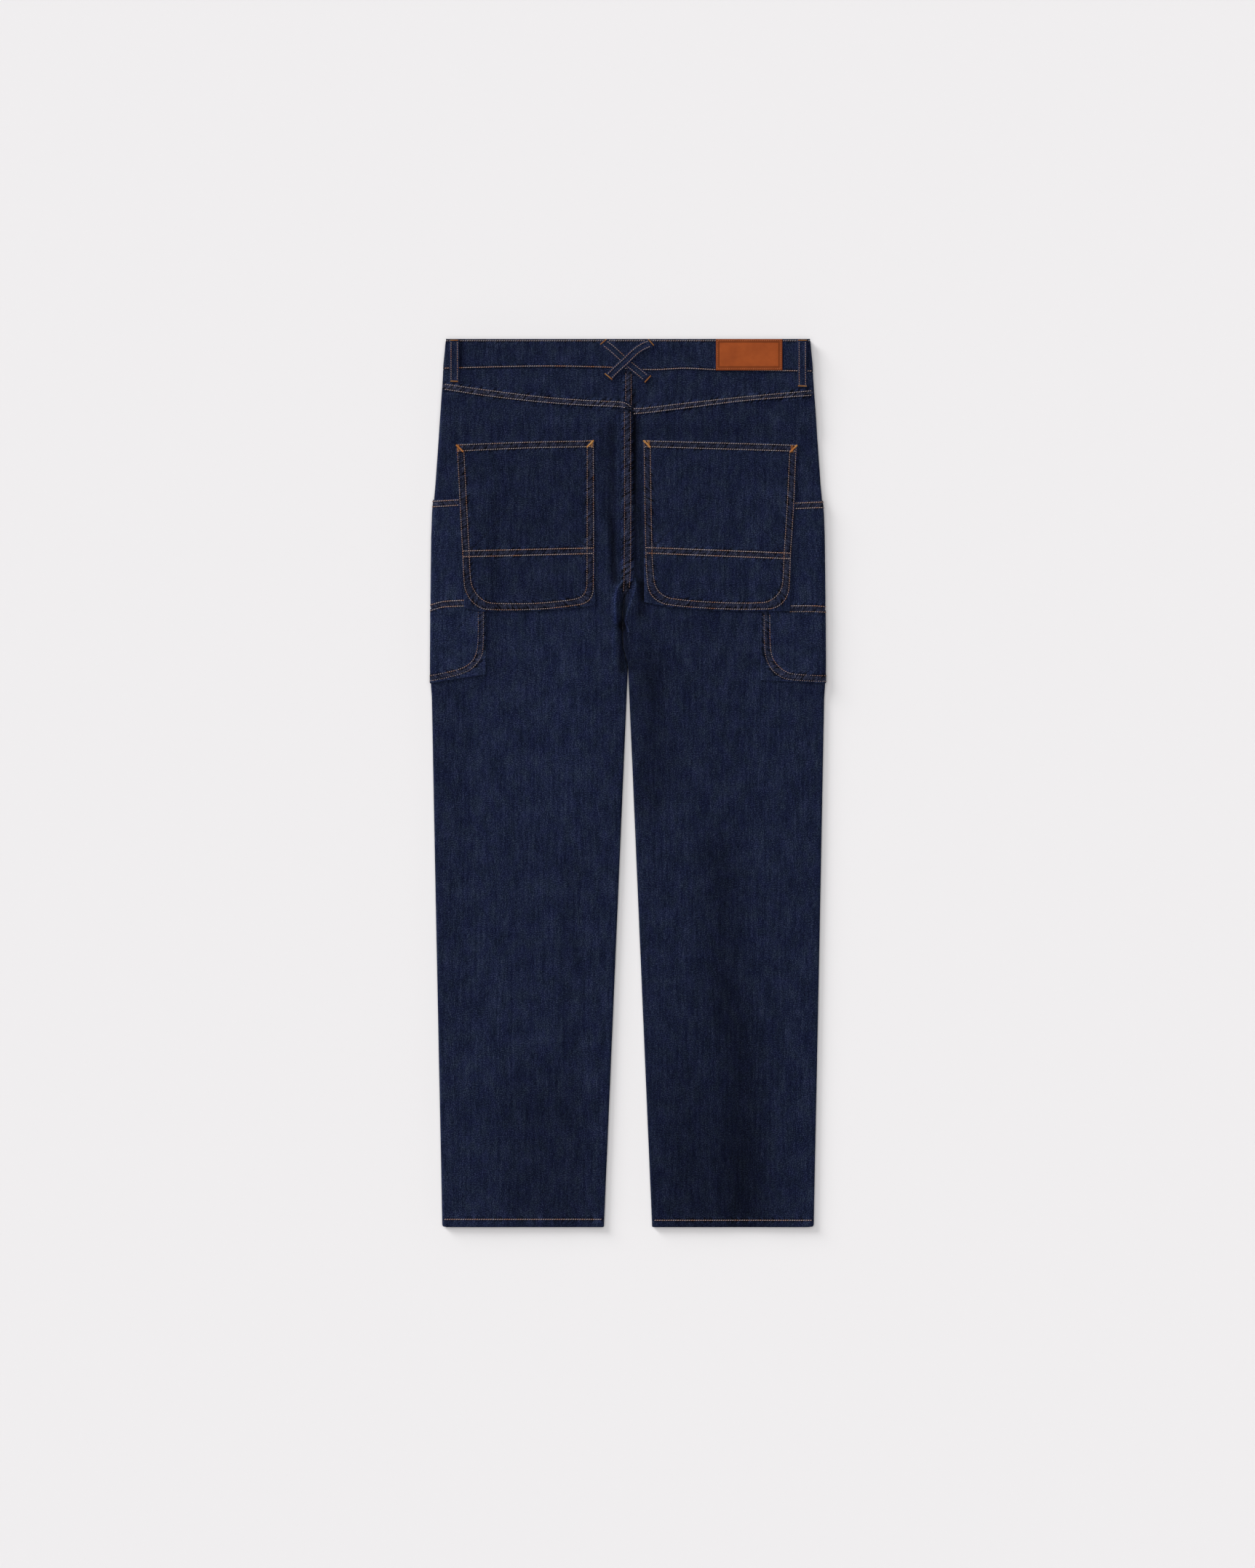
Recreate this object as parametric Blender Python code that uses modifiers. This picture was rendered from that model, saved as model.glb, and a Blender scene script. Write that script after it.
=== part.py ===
"""Cargo jeans lying flat on a table, back side up: waist towards +Y, hems towards -Y.

The garment is built the way it is cut and sewn. Every cloth piece is a wall, laid as one
of two layers that meet at the side seams and inseams. Places are given as `across`, the
distance from the centre line towards +X, and `down`, the distance below the top edge of the
waistband. The front lies underneath, on the table.
"""
import math

import bmesh
import bpy
from mathutils import Vector

# Whole garment
LENGTH = 1.070
CLOTH = 0.0013
SEAM_GAP = 0.0003
LAID = 0.0060
EDGE_ROLL = 0.0030
CORNER = 0.0030

# Waist
BAND_CLOTH = 0.0022
BAND_TOP = 0.0086
LIFT_HELD_TO = 0.100
LIFT_ENDS_AT = 0.120
FRONT_DIP = 0.024
FLY_EDGE = 0.010
BUTTON_ACROSS = -0.004
BUTTON_BELOW_EDGE = 0.018
BUTTON_RADIUS = 0.0085
BUTTON_THICK = 0.0016

# Belt loops and patch
LOOP_CLOTH = 0.0016
WAIST_LIFT = LOOP_CLOTH + SEAM_GAP
LOOP_WIDTH = 0.0115
CROSS_LOOP_WIDTH = 0.0105
FRONT_LOOP_ACROSS = 0.100
FRONT_LOOP_LENGTH = 0.050
PATCH = {"left": 0.1058, "right": 0.1858, "top": 0.0002, "bottom": 0.0380, "thick": 0.0014}
PATCH_BEVEL = 0.0004

# Legs
CROTCH_DOWN = 0.395
LEG_SPREAD = 0.0429

# Side pockets, which wrap round each side seam
FRONT_REACH = 0.066
POCKET_STAND = SEAM_GAP + CLOTH
RAMP_TOP = (0.174, 0.189)
RAMP_BOTTOM = (0.4175, 0.432)
RAMP_IN = (0.001, 0.016)

# Half width of the laid body, without the side pockets
OUTLINE = [  # down, half width
    (0.000, 0.2195),
    (0.015, 0.2208),
    (0.030, 0.2224),
    (0.047, 0.2231),
    (0.082, 0.2256),
    (0.120, 0.2282),
    (0.174, 0.2320),
    (0.189, 0.2333),
    (0.205, 0.2346),
    (0.240, 0.2358),
    (0.290, 0.2364),
    (0.345, 0.2370),
    (0.4175, 0.2374),
    (0.432, 0.2364),
    (0.643, 0.2324),
    (0.818, 0.2289),
    (0.993, 0.2253),
    (1.070, 0.2238),
]

# The line where the two back pieces meet, and how each turns down to the inseam below it
BACK_CENTRE = [  # down, across, left roll, right roll, turn
    (0.060, 0.0050, 0.0080, 0.0080, 0.00),
    (0.290, 0.0050, 0.0080, 0.0080, 0.00),
    (0.296, 0.0040, 0.0100, 0.0078, 0.25),
    (0.301, 0.0015, 0.0125, 0.0085, 0.60),
    (0.306, -0.0015, 0.0135, 0.0090, 0.90),
    (0.312, -0.0040, 0.0115, 0.0090, 1.00),
    (0.319, -0.0055, 0.0095, 0.0060, 1.00),
    (0.328, -0.0065, 0.0075, 0.0035, 1.00),
    (0.345, -0.0065, 0.0055, 0.0030, 1.00),
    (0.370, -0.0060, 0.0042, 0.0030, 1.00),
    (0.395, 0.0000, 0.0032, 0.0030, 1.00),
    (1.070, 0.0000, 0.0030, 0.0030, 1.00),
]

# The same for the front pieces: the fly's edge, then the front crotch
FRONT_CENTRE = [  # down, across, left roll, right roll, turn
    (0.040, 0.0100, 0.0080, 0.0080, 0.00),
    (0.205, 0.0100, 0.0080, 0.0080, 0.00),
    (0.260, 0.0060, 0.0080, 0.0080, 0.00),
    (0.290, 0.0030, 0.0080, 0.0080, 0.00),
    (0.301, 0.0010, 0.0100, 0.0085, 0.60),
] + BACK_CENTRE[4:]

# Soft folds of the laid back, as ridges and troughs that run down the cloth
BACK_FOLDS = [  # across, half width, start, end, rise
    (-0.012, 0.020, 0.100, 0.325, 0.0008),
    (0.006, 0.0115, 0.092, 0.318, -0.0018),
    (0.150, 0.055, 0.560, 1.150, -0.0010),
    (-0.062, 0.035, 0.640, 1.150, -0.0007),
    (-0.170, 0.045, 0.450, 1.150, 0.0005),
]
FOLD_FADE = 0.040

# Lower edge of the back waistband, and the yoke's lapped seam below it
BAND_EDGE = [  # across, down
    (-0.223, 0.0370),
    (-0.105, 0.0345),
    (-0.025, 0.0358),
    (0.028, 0.0387),
    (0.070, 0.0372),
    (0.105, 0.0387),
    (0.223, 0.0403),
]
YOKE_EDGE = {
    "left": [  # across, down
        (-0.223, 0.0623),
        (-0.105, 0.0774),
        (-0.020, 0.0830),
        (0.005, 0.0850),
    ],
    "right": [  # across, down
        (0.005, 0.0917),
        (0.020, 0.0912),
        (0.069, 0.0850),
        (0.140, 0.0760),
        (0.223, 0.0693),
    ],
}

# Edges of each side pocket, at the side seam's fold and at its inner edge on the back
SIDE_POCKET = {  # reach over the back; down at the fold and at the inner edge
    "left": {"reach": 0.0657, "top": (0.1934, 0.1918), "seam": (0.3245, 0.3190), "bottom": (0.4150, 0.4044)},
    "right": {"reach": 0.0770, "top": (0.1945, 0.1960), "seam": (0.3260, 0.3255), "bottom": (0.4147, 0.4115)},
}

# Outline of each back pocket
BACK_POCKET = {
    "left": {
        "outer": [(0.1257, -0.2078), (0.2570, -0.2006), (0.3248, -0.1971)],  # down, across
        "inner": [(0.1211, -0.0405), (0.3217, -0.0389)],
        "top": [(-0.2078, 0.1257), (-0.0405, 0.1211)],  # across, down
        "bottom": [(-0.1971, 0.3250), (-0.1766, 0.3287), (-0.1088, 0.3279), (-0.0604, 0.3240), (-0.0389, 0.3217)],
    },
    "right": {
        "outer": [(0.1263, 0.2044), (0.2048, 0.2009), (0.2573, 0.1970), (0.3280, 0.1954)],
        "inner": [(0.1211, 0.0180), (0.3152, 0.0195)],
        "top": [(0.0180, 0.1211), (0.2044, 0.1263)],
        "bottom": [(0.0195, 0.3170), (0.0477, 0.3230), (0.1050, 0.3274), (0.1584, 0.3283), (0.1954, 0.3283)],
    },
}

# Belt loops: the middle of each strip and the height of its underside
LOOPS = {
    "belt_loop_left": {
        "width": LOOP_WIDTH,
        "line": [  # across, down, height
            (-0.2091, 0.0004, 0.00890),
            (-0.2091, 0.0070, 0.00930),
            (-0.2091, 0.0200, 0.00960),
            (-0.2091, 0.0340, 0.00940),
            (-0.2091, 0.0420, 0.00890),
            (-0.2092, 0.0475, 0.00840),
            (-0.2092, 0.0525, 0.00832),
        ],
    },
    "belt_loop_right": {
        "width": LOOP_WIDTH,
        "line": [
            (0.2097, 0.0004, 0.00890),
            (0.2097, 0.0070, 0.00930),
            (0.2097, 0.0220, 0.00960),
            (0.2097, 0.0380, 0.00940),
            (0.2098, 0.0470, 0.00885),
            (0.2099, 0.0530, 0.00840),
            (0.2099, 0.0584, 0.00832),
        ],
    },
    "belt_loop_cross_under": {
        "width": CROSS_LOOP_WIDTH,
        "line": [
            (-0.0295, 0.0043, 0.00895),
            (-0.0210, 0.0105, 0.00910),
            (-0.0120, 0.0185, 0.00915),
            (-0.0028, 0.0270, 0.00905),
            (0.0070, 0.0350, 0.00905),
            (0.0158, 0.0422, 0.00900),
            (0.0230, 0.0485, 0.00860),
        ],
    },
    "belt_loop_cross_over": {
        "width": CROSS_LOOP_WIDTH,
        "line": [
            (0.0282, 0.0050, 0.00895),
            (0.0200, 0.0083, 0.00970),
            (0.0115, 0.0135, 0.01065),
            (0.0045, 0.0197, 0.01115),
            (-0.0028, 0.0270, 0.01125),
            (-0.0095, 0.0330, 0.01115),
            (-0.0150, 0.0380, 0.01050),
            (-0.0198, 0.0428, 0.00920),
            (-0.0240, 0.0468, 0.00860),
        ],
    },
}

# How finely the cloth is divided in these solids
MIDDLE_COLUMNS = 3
HALF_COLUMN = 0.045
BEYOND_ROLL = 0.004
BACK_ROWS = (
    0.100, 0.120, 0.150, 0.174, 0.189, 0.205, 0.240, 0.290, 0.296, 0.301, 0.306, 0.312, 0.319, 0.328,
    0.345, 0.370, 0.395, 0.4175, 0.432, 0.500, 0.570, 0.643, 0.730, 0.818, 0.905, 0.993, 1.067, 1.070,
)
YOKE_ROWS = 3
BAND_ROWS = (0.0, 0.08, 0.5, 1.0)
UPPER_POCKET_ROWS = (0.205, 0.240, 0.290)
LOWER_POCKET_ROWS = (0.345,)
POCKET_ROWS = (0.150, 0.174, 0.189, 0.205, 0.240, 0.290, 0.312)
FRONT_ROWS = (
    0.100, 0.120, 0.174, 0.189, 0.205, 0.240, 0.290, 0.301, 0.306, 0.312, 0.319, 0.328, 0.345,
    0.370, 0.395, 0.4175, 0.432, 0.643, 0.818, 0.993, 1.067, 1.070,
)

COLOURS = {
    "denim": ((0.011, 0.016, 0.036, 1.0), 0.90, 0.0),
    "leather": ((0.30, 0.066, 0.017, 1.0), 0.55, 0.0),
    "metal": ((0.42, 0.24, 0.12, 1.0), 0.35, 1.0),
}


def clear_scene():
    for thing in list(bpy.data.objects):
        bpy.data.objects.remove(thing)


def make_material(name):
    colour, roughness, metallic = COLOURS[name]
    material = bpy.data.materials.new(name)
    material.use_nodes = True
    shader = material.node_tree.nodes["Principled BSDF"]
    shader.inputs["Base Color"].default_value = colour
    shader.inputs["Roughness"].default_value = roughness
    shader.inputs["Metallic"].default_value = metallic
    return material


def along(table, at, column=1):
    """The value of a table's column at a place between its rows."""
    if at <= table[0][0]:
        return table[0][column]
    for low, high in zip(table, table[1:]):
        if at <= high[0]:
            share = (at - low[0]) / (high[0] - low[0])
            return low[column] + share * (high[column] - low[column])
    return table[-1][column]


def ramp(at, start, end):
    """0 before start, 1 after end, and a straight ramp between."""
    return min(1.0, max(0.0, (at - start) / (end - start)))


def place(across, down, height):
    """A point of the garment in the part's own frame."""
    return Vector((across, LENGTH / 2 - down, height))


def half_width(down):
    """Half width of the body, with its rounded corners at the waist and the hems."""
    width = along(OUTLINE, down)
    from_end = min(down, LENGTH - down)
    if from_end < CORNER:
        width -= CORNER - math.sqrt(CORNER**2 - (CORNER - max(from_end, 0.0)) ** 2)
    return width


def leg_gap(down):
    """Half the gap between the legs."""
    return LEG_SPREAD * max(0.0, down - CROTCH_DOWN)


def side_name(side):
    return "left" if side < 0 else "right"


def pocket_zone(side, inward, down):
    """1 over a side pocket, falling to 0 around it."""
    reach = SIDE_POCKET[side_name(side)]["reach"]
    over = 1.0 - ramp(inward, reach + RAMP_IN[0], reach + RAMP_IN[1])
    below_top = ramp(down, *RAMP_TOP)
    above_bottom = 1.0 - ramp(down, *RAMP_BOTTOM)
    return over * below_top * above_bottom


def lift(side, inward, down):
    """Height of the front's outer face: it rises over the belt loops and side pockets under it."""
    waist = WAIST_LIFT * (1.0 - ramp(down, LIFT_HELD_TO, LIFT_ENDS_AT))
    return waist + POCKET_STAND * pocket_zone(side, inward, down)


def back_relief(across, down):
    """The soft folds, as a height added to the back."""
    total = 0.0
    for centre, half, start, end, rise in BACK_FOLDS:
        off = abs(across - centre) / half
        if off < 1.0:
            ends = ramp(down, start, start + FOLD_FADE) * (1.0 - ramp(down, end - FOLD_FADE, end))
            total += rise * math.cos(off * math.pi / 2) ** 2 * ends
    return total


def back_height(side, across, down):
    """Height of the back's outer face away from its edges."""
    return lift(side, half_width(down) - side * across, down) + LAID + back_relief(across, down)


def back_point(side, across, down, rise, lip):
    """A point of the back's outer face, which falls to the middle height at a turned edge."""
    middle = lift(side, half_width(down) - side * across, down) + LAID / 2
    return place(across, down, middle + rise * (back_height(side, across, down) - middle) + lip)


def rolled_edge(roll, turn):
    """(inward, rise, lip) of the points up an edge: blunt where it turns down to its seam, else flat."""
    shift = SEAM_GAP * (1.0 - turn)
    bend = math.radians(45.0)
    half = SEAM_GAP / 2
    return [
        (0.0, 1.0 - turn, half * turn),
        (shift, 1.0 - turn, (half + SEAM_GAP) * turn),
        (shift + EDGE_ROLL * (1.0 - math.cos(bend)), 1.0 - turn * (1.0 - math.sin(bend)), 0.0),
        (shift + roll, 1.0, 0.0),
    ]


def middle_columns(side, down, centre):
    """Places across one side between its two edges, from the centre outwards."""
    roll = along(centre, down, 2 if side < 0 else 3)
    first = side * along(centre, down) + leg_gap(down) + roll + BEYOND_ROLL
    outer = half_width(down)
    reach = SIDE_POCKET[side_name(side)]["reach"]
    last = outer - reach - RAMP_IN[1]
    columns = [first + step / MIDDLE_COLUMNS * (last - first) for step in range(MIDDLE_COLUMNS + 1)]
    columns += [outer - reach - RAMP_IN[0], outer - HALF_COLUMN]
    return [side * column for column in columns]


def leg_columns(side, down, centre):
    """(across, rise, lip) of the points across one leg piece, from the inner edge to the side seam."""
    roll = along(centre, down, 2 if side < 0 else 3)
    turn = along(centre, down, 4)
    inner = along(centre, down) + side * (SEAM_GAP / 2 + leg_gap(down))
    outer = half_width(down)
    columns = [(inner + side * inward, rise, lip) for inward, rise, lip in rolled_edge(roll, turn)]
    columns += [(across, 1.0, 0.0) for across in middle_columns(side, down, centre)]
    for inward, rise, lip in reversed(rolled_edge(EDGE_ROLL, 1.0)):
        columns.append((side * (outer - inward), rise, lip))
    return columns


def grid_object(name, columns, rows, point, thickness, outward, material):
    """A named cloth piece: a grid moved to its shape, then given its wall with Solidify."""
    mesh = bpy.data.meshes.new(name)
    shape = bmesh.new()
    bmesh.ops.create_grid(shape, x_segments=columns - 1, y_segments=rows - 1, size=0.5)
    for vertex in shape.verts:
        column = round((vertex.co.x + 0.5) * (columns - 1))
        row = round((0.5 - vertex.co.y) * (rows - 1))
        vertex.co = point(column, row)
    if not outward:
        bmesh.ops.reverse_faces(shape, faces=shape.faces)
    shape.to_mesh(mesh)
    shape.free()
    piece = bpy.data.objects.new(name, mesh)
    mesh.materials.append(MATERIALS[material])
    mesh.shade_smooth()
    mesh.set_sharp_from_angle(angle=math.radians(40.0))
    wall = piece.modifiers.new("Wall", "SOLIDIFY")
    wall.thickness = abs(thickness)
    wall.offset = math.copysign(1.0, thickness)
    wall.use_even_offset = True
    JEANS.objects.link(piece)
    return piece


def column_point(side, centre, column, edge):
    """(across, down, rise, lip) where a column, counted towards +X, crosses an edge given as down of across."""
    down = LIFT_HELD_TO
    for _ in range(3):
        across, rise, lip = leg_columns(side, down, centre)[column if side > 0 else -1 - column]
        down = edge(across)
    return across, down, rise, lip


def leg_piece(name, side, back, top_edge, rows, centre):
    """A front or back leg piece, from its top edge to the hem."""
    def point(column, row):
        edge = top_edge if row == 0 else lambda across: rows[row - 1]
        across, down, rise, lip = column_point(side, centre, column, edge)
        if back:
            return back_point(side, across, down, rise, lip)
        outside = lift(side, half_width(down) - side * across, down)
        return place(across, down, outside + (1.0 - rise) * LAID / 2 - lip)

    columns = len(leg_columns(side, CROTCH_DOWN, centre))
    grid_object(name, columns, len(rows) + 1, point, -CLOTH, back, "denim")


def make_legs(side):
    name = side_name(side)
    yoke_edge = YOKE_EDGE[name]

    def back_top(across):
        return along(yoke_edge, across) + SEAM_GAP

    def front_top(across):
        return front_band_top(across) + band_depth(across) + SEAM_GAP

    leg_piece(f"back_leg_{name}", side, True, back_top, BACK_ROWS, BACK_CENTRE)
    leg_piece(f"front_leg_{name}", side, False, front_top, FRONT_ROWS, FRONT_CENTRE)


def make_yoke(side):
    """One half of the back yoke, between the waistband and the lapped seam."""
    yoke_edge = YOKE_EDGE[side_name(side)]
    columns = len(leg_columns(side, CROTCH_DOWN, BACK_CENTRE))

    def point(column, row):
        def edge(across):
            top = along(BAND_EDGE, across) + SEAM_GAP
            return top + row / (YOKE_ROWS - 1) * (along(yoke_edge, across) - top)

        across, down, rise, lip = column_point(side, BACK_CENTRE, column, edge)
        return back_point(side, across, down, rise, lip)

    grid_object(f"yoke_{side_name(side)}", columns, YOKE_ROWS, point, -CLOTH, True, "denim")


def front_band_top(across):
    """The front of the waist dips below the back's straight top edge."""
    return FRONT_DIP * max(0.0, 1.0 - (across / OUTLINE[2][1]) ** 2)


def band_depth(across):
    """Height of the front waistband, which meets the back one's at each side."""
    return along([BAND_EDGE[0], BAND_EDGE[-1]], across)


def band_stations():
    """(place, value) round the waistband, from the fly's edge round by the left side and the back."""
    front = {side: middle_columns(side, BAND_EDGE[0][1], FRONT_CENTRE) for side in (-1, 1)}
    back = {side: middle_columns(side, BAND_EDGE[0][1], BACK_CENTRE) for side in (-1, 1)}
    stations = [("front", across) for across in (FLY_EDGE - SEAM_GAP / 2, *front[-1])]
    stations += [("left", bend) for bend in (-90, -45, 0, 45, 90)]
    stations += [("back", across) for across in (*reversed(back[-1]), *back[1])]
    stations += [("right", bend) for bend in (90, 45, 0, -45, -90)]
    return stations + [("front", across) for across in (*reversed(front[1]), FLY_EDGE + SEAM_GAP / 2)]


def make_waistband():
    """One strip round the waist, its two ends side by side at the fly."""
    stations = band_stations()
    middle = (BAND_TOP + WAIST_LIFT) / 2
    roll = (BAND_TOP - WAIST_LIFT) / 2

    def point(column, row):
        where, value = stations[column]
        share = BAND_ROWS[row]
        if where == "back":
            return place(value, share * along(BAND_EDGE, value), BAND_TOP)
        if where == "front":
            return place(value, front_band_top(value) + share * band_depth(value), WAIST_LIFT)
        side = -1 if where == "left" else 1
        bend = math.radians(value)
        down = share * along(BAND_EDGE, side * half_width(BAND_EDGE[0][1]))
        across = half_width(down) - roll * (1.0 - math.cos(bend))
        return place(side * across, down, middle + roll * math.sin(bend))

    grid_object("waistband", len(stations), len(BAND_ROWS), point, -BAND_CLOTH, True, "denim")


def make_back_pocket(side):
    """A patch pocket on the seat, on the leg's own grid lines. Its outer edge lies over the side pocket."""
    name = side_name(side)
    shape = BACK_POCKET[name]
    rows = len(POCKET_ROWS) + 2

    def across_of(column, down):
        inside = middle_columns(side, down, BACK_CENTRE)[1:]
        return [along(shape["inner"], down), *inside, along(shape["outer"], down)][column if side > 0 else -1 - column]

    def point(column, row):
        down = POCKET_ROWS[min(max(row - 1, 0), len(POCKET_ROWS) - 1)]
        across = across_of(column, down)
        if row == 0:
            down = along(shape["top"], across)
        elif row == rows - 1:
            down = along(shape["bottom"], across)
        across = across_of(column, down)
        over = pocket_zone(side, half_width(down) - side * across, down)
        return place(across, down, back_height(side, across, down) + SEAM_GAP + over * POCKET_STAND)

    columns = len(middle_columns(side, POCKET_ROWS[0], BACK_CENTRE)) + 1
    grid_object(f"back_pocket_{name}", columns, rows, point, CLOTH, True, "denim")


def side_pocket_stations(side):
    """(place, value) round a side pocket, from its edge on the back to its edge on the front."""
    reach = SIDE_POCKET[side_name(side)]["reach"]
    stations = [("back", reach), ("back", HALF_COLUMN)]
    stations += [("roll", bend) for bend in (90, 45, 0, -45, -90)]
    return stations + [("front", HALF_COLUMN), ("front", FRONT_REACH)]


def side_pocket_piece(name, side, top, bottom, rows_between):
    """One piece of a side pocket. Its top and bottom give the edge at the fold and at the inner edge."""
    stations = side_pocket_stations(side)
    reach = stations[0][1]
    middle = POCKET_STAND + LAID / 2
    stand = LAID / 2 + POCKET_STAND
    roll = EDGE_ROLL + POCKET_STAND

    def point(column, row):
        where, value = stations[column if side < 0 else -1 - column]
        share = 0.0 if where == "roll" else min(1.0, value / reach)
        start = top[0] + share * (top[1] - top[0])
        end = bottom[0] + share * (bottom[1] - bottom[0])
        down = (start, *rows_between, end)[row]
        if where == "roll":
            bend = math.radians(value)
            across = half_width(down) + POCKET_STAND - roll * (1.0 - math.cos(bend))
            return place(side * across, down, middle + stand * math.sin(bend))
        height = middle + (stand if where == "back" else -stand)
        return place(side * (half_width(down) - value), down, height)

    grid_object(name, len(stations), len(rows_between) + 2, point, -CLOTH, False, "denim")


def make_side_pocket(side):
    """The side pocket's upper and lower pieces, wrapped round the side seam."""
    name = side_name(side)
    shape = SIDE_POCKET[name]
    above_seam = tuple(down - SEAM_GAP for down in shape["seam"])
    side_pocket_piece(f"side_pocket_upper_{name}", side, shape["top"], above_seam, UPPER_POCKET_ROWS)
    side_pocket_piece(f"side_pocket_lower_{name}", side, shape["seam"], shape["bottom"], LOWER_POCKET_ROWS)


def make_loop(name, width, line, facing_up=True):
    """A belt loop: a flat strip along its middle line."""
    middles = [place(*row) for row in line]

    def point(column, row):
        before = middles[max(row - 1, 0)]
        after = middles[min(row + 1, len(middles) - 1)]
        heading = after - before
        sideways = Vector((-heading.y, heading.x, 0.0)).normalized()
        return middles[row] + sideways * width * (column / 2 - 0.5)

    grid_object(name, 3, len(line), point, LOOP_CLOTH, facing_up, "denim")


def make_loops():
    for name, loop in LOOPS.items():
        make_loop(name, loop["width"], loop["line"])
    for side in (-1, 1):
        across = side * FRONT_LOOP_ACROSS
        top = front_band_top(across) + SEAM_GAP
        steps = 4
        height = WAIST_LIFT - SEAM_GAP
        line = [(across, top + FRONT_LOOP_LENGTH * step / steps, height) for step in range(steps + 1)]
        make_loop(f"belt_loop_front_{side_name(side)}", LOOP_WIDTH, line, facing_up=False)


def bevel(piece, width):
    edges = piece.modifiers.new("Bevel", "BEVEL")
    edges.width = width
    edges.segments = 2
    edges.limit_method = "ANGLE"


def finish_piece(name, shape, material):
    mesh = bpy.data.meshes.new(name)
    shape.to_mesh(mesh)
    shape.free()
    mesh.materials.append(MATERIALS[material])
    mesh.shade_smooth()
    mesh.set_sharp_from_angle(angle=math.radians(40.0))
    piece = bpy.data.objects.new(name, mesh)
    JEANS.objects.link(piece)
    return piece


def make_patch():
    """The bare leather patch on the waistband."""
    shape = bmesh.new()
    size = (PATCH["right"] - PATCH["left"], PATCH["bottom"] - PATCH["top"], PATCH["thick"])
    bmesh.ops.create_cube(shape, size=1.0)
    bmesh.ops.scale(shape, vec=size, verts=shape.verts)
    piece = finish_piece("leather_patch", shape, "leather")
    across = (PATCH["left"] + PATCH["right"]) / 2
    down = (PATCH["top"] + PATCH["bottom"]) / 2
    piece.location = place(across, down, BAND_TOP + SEAM_GAP + PATCH["thick"] / 2)
    bevel(piece, PATCH_BEVEL)


def make_button():
    """The waist button, which the front waistband lies on."""
    shape = bmesh.new()
    bmesh.ops.create_cone(
        shape, cap_ends=True, segments=24, radius1=BUTTON_RADIUS, radius2=BUTTON_RADIUS, depth=BUTTON_THICK
    )
    piece = finish_piece("waist_button", shape, "metal")
    down = front_band_top(BUTTON_ACROSS) + BUTTON_BELOW_EDGE
    piece.location = place(BUTTON_ACROSS, down, BUTTON_THICK / 2)
    bevel(piece, BUTTON_THICK / 4)


clear_scene()
MATERIALS = {name: make_material(name) for name in COLOURS}
JEANS = bpy.data.collections.new("cargo_jeans")
bpy.context.scene.collection.children.link(JEANS)
make_waistband()
for each_side in (-1, 1):
    make_yoke(each_side)
    make_legs(each_side)
    make_side_pocket(each_side)
    make_back_pocket(each_side)
make_loops()
make_patch()
make_button()
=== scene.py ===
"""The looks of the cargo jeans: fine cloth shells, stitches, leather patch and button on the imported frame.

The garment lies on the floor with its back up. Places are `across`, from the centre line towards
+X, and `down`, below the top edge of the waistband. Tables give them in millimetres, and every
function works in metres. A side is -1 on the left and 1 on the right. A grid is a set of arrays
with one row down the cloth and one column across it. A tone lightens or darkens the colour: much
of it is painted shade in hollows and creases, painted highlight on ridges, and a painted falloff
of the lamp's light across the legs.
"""

import math

import bpy
import numpy as np
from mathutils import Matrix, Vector


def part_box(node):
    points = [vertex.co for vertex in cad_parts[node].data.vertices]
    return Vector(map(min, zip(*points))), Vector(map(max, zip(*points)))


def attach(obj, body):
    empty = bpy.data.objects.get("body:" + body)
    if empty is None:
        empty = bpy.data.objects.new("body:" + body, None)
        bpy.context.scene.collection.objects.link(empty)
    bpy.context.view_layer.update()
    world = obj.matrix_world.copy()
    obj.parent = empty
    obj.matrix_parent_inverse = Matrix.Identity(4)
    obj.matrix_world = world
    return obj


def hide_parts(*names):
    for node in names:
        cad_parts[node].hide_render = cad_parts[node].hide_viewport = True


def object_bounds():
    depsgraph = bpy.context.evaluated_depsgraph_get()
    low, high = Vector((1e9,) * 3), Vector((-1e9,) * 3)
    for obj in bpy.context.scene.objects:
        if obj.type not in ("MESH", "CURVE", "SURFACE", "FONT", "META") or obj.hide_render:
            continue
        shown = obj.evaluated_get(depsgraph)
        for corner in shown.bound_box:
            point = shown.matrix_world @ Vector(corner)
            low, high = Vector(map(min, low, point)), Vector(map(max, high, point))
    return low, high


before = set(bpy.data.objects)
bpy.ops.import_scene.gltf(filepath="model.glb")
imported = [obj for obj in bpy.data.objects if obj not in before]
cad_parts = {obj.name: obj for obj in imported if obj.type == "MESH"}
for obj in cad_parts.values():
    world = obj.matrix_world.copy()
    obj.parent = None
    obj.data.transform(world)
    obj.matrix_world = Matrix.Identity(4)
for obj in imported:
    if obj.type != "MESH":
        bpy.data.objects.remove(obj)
cad_low, cad_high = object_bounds()

MM = 0.001
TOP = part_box("waistband")[1].y
LENGTH = TOP - cad_low.y
FLOOR_CLEAR = 0.01 * MM
FAR_OFF = 99.0  # farther than anything here
UPWARD = (0.0, 0.0, 1.0)
DOWNWARD = (0.0, 0.0, -1.0)
SQUARE = ((-1, -1), (1, -1), (1, 1), (-1, 1))

# The laid body, as the frame's solids have it
CLOTH = 1.3 * MM
SEAM_GAP = 0.3 * MM
LAID = 6.0 * MM
EDGE_ROLL = 3.0 * MM
CORNER = 3.2 * MM
WAIST_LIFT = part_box("belt_loop_front_left")[1].z + SEAM_GAP
WAIST_RAMP = (100 * MM, 120 * MM)
CROTCH_DOWN = 395 * MM
LEG_SPREAD = 0.0429
POCKET_STAND = SEAM_GAP + CLOTH
RAMP_TOP = (174 * MM, 190 * MM)
RAMP_BOTTOM = (417 * MM, 432 * MM)
RAMP_IN = (1 * MM, 16 * MM)
CALM_FROM = 900 * MM
INNER_STAND = 0.05 * MM

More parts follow.
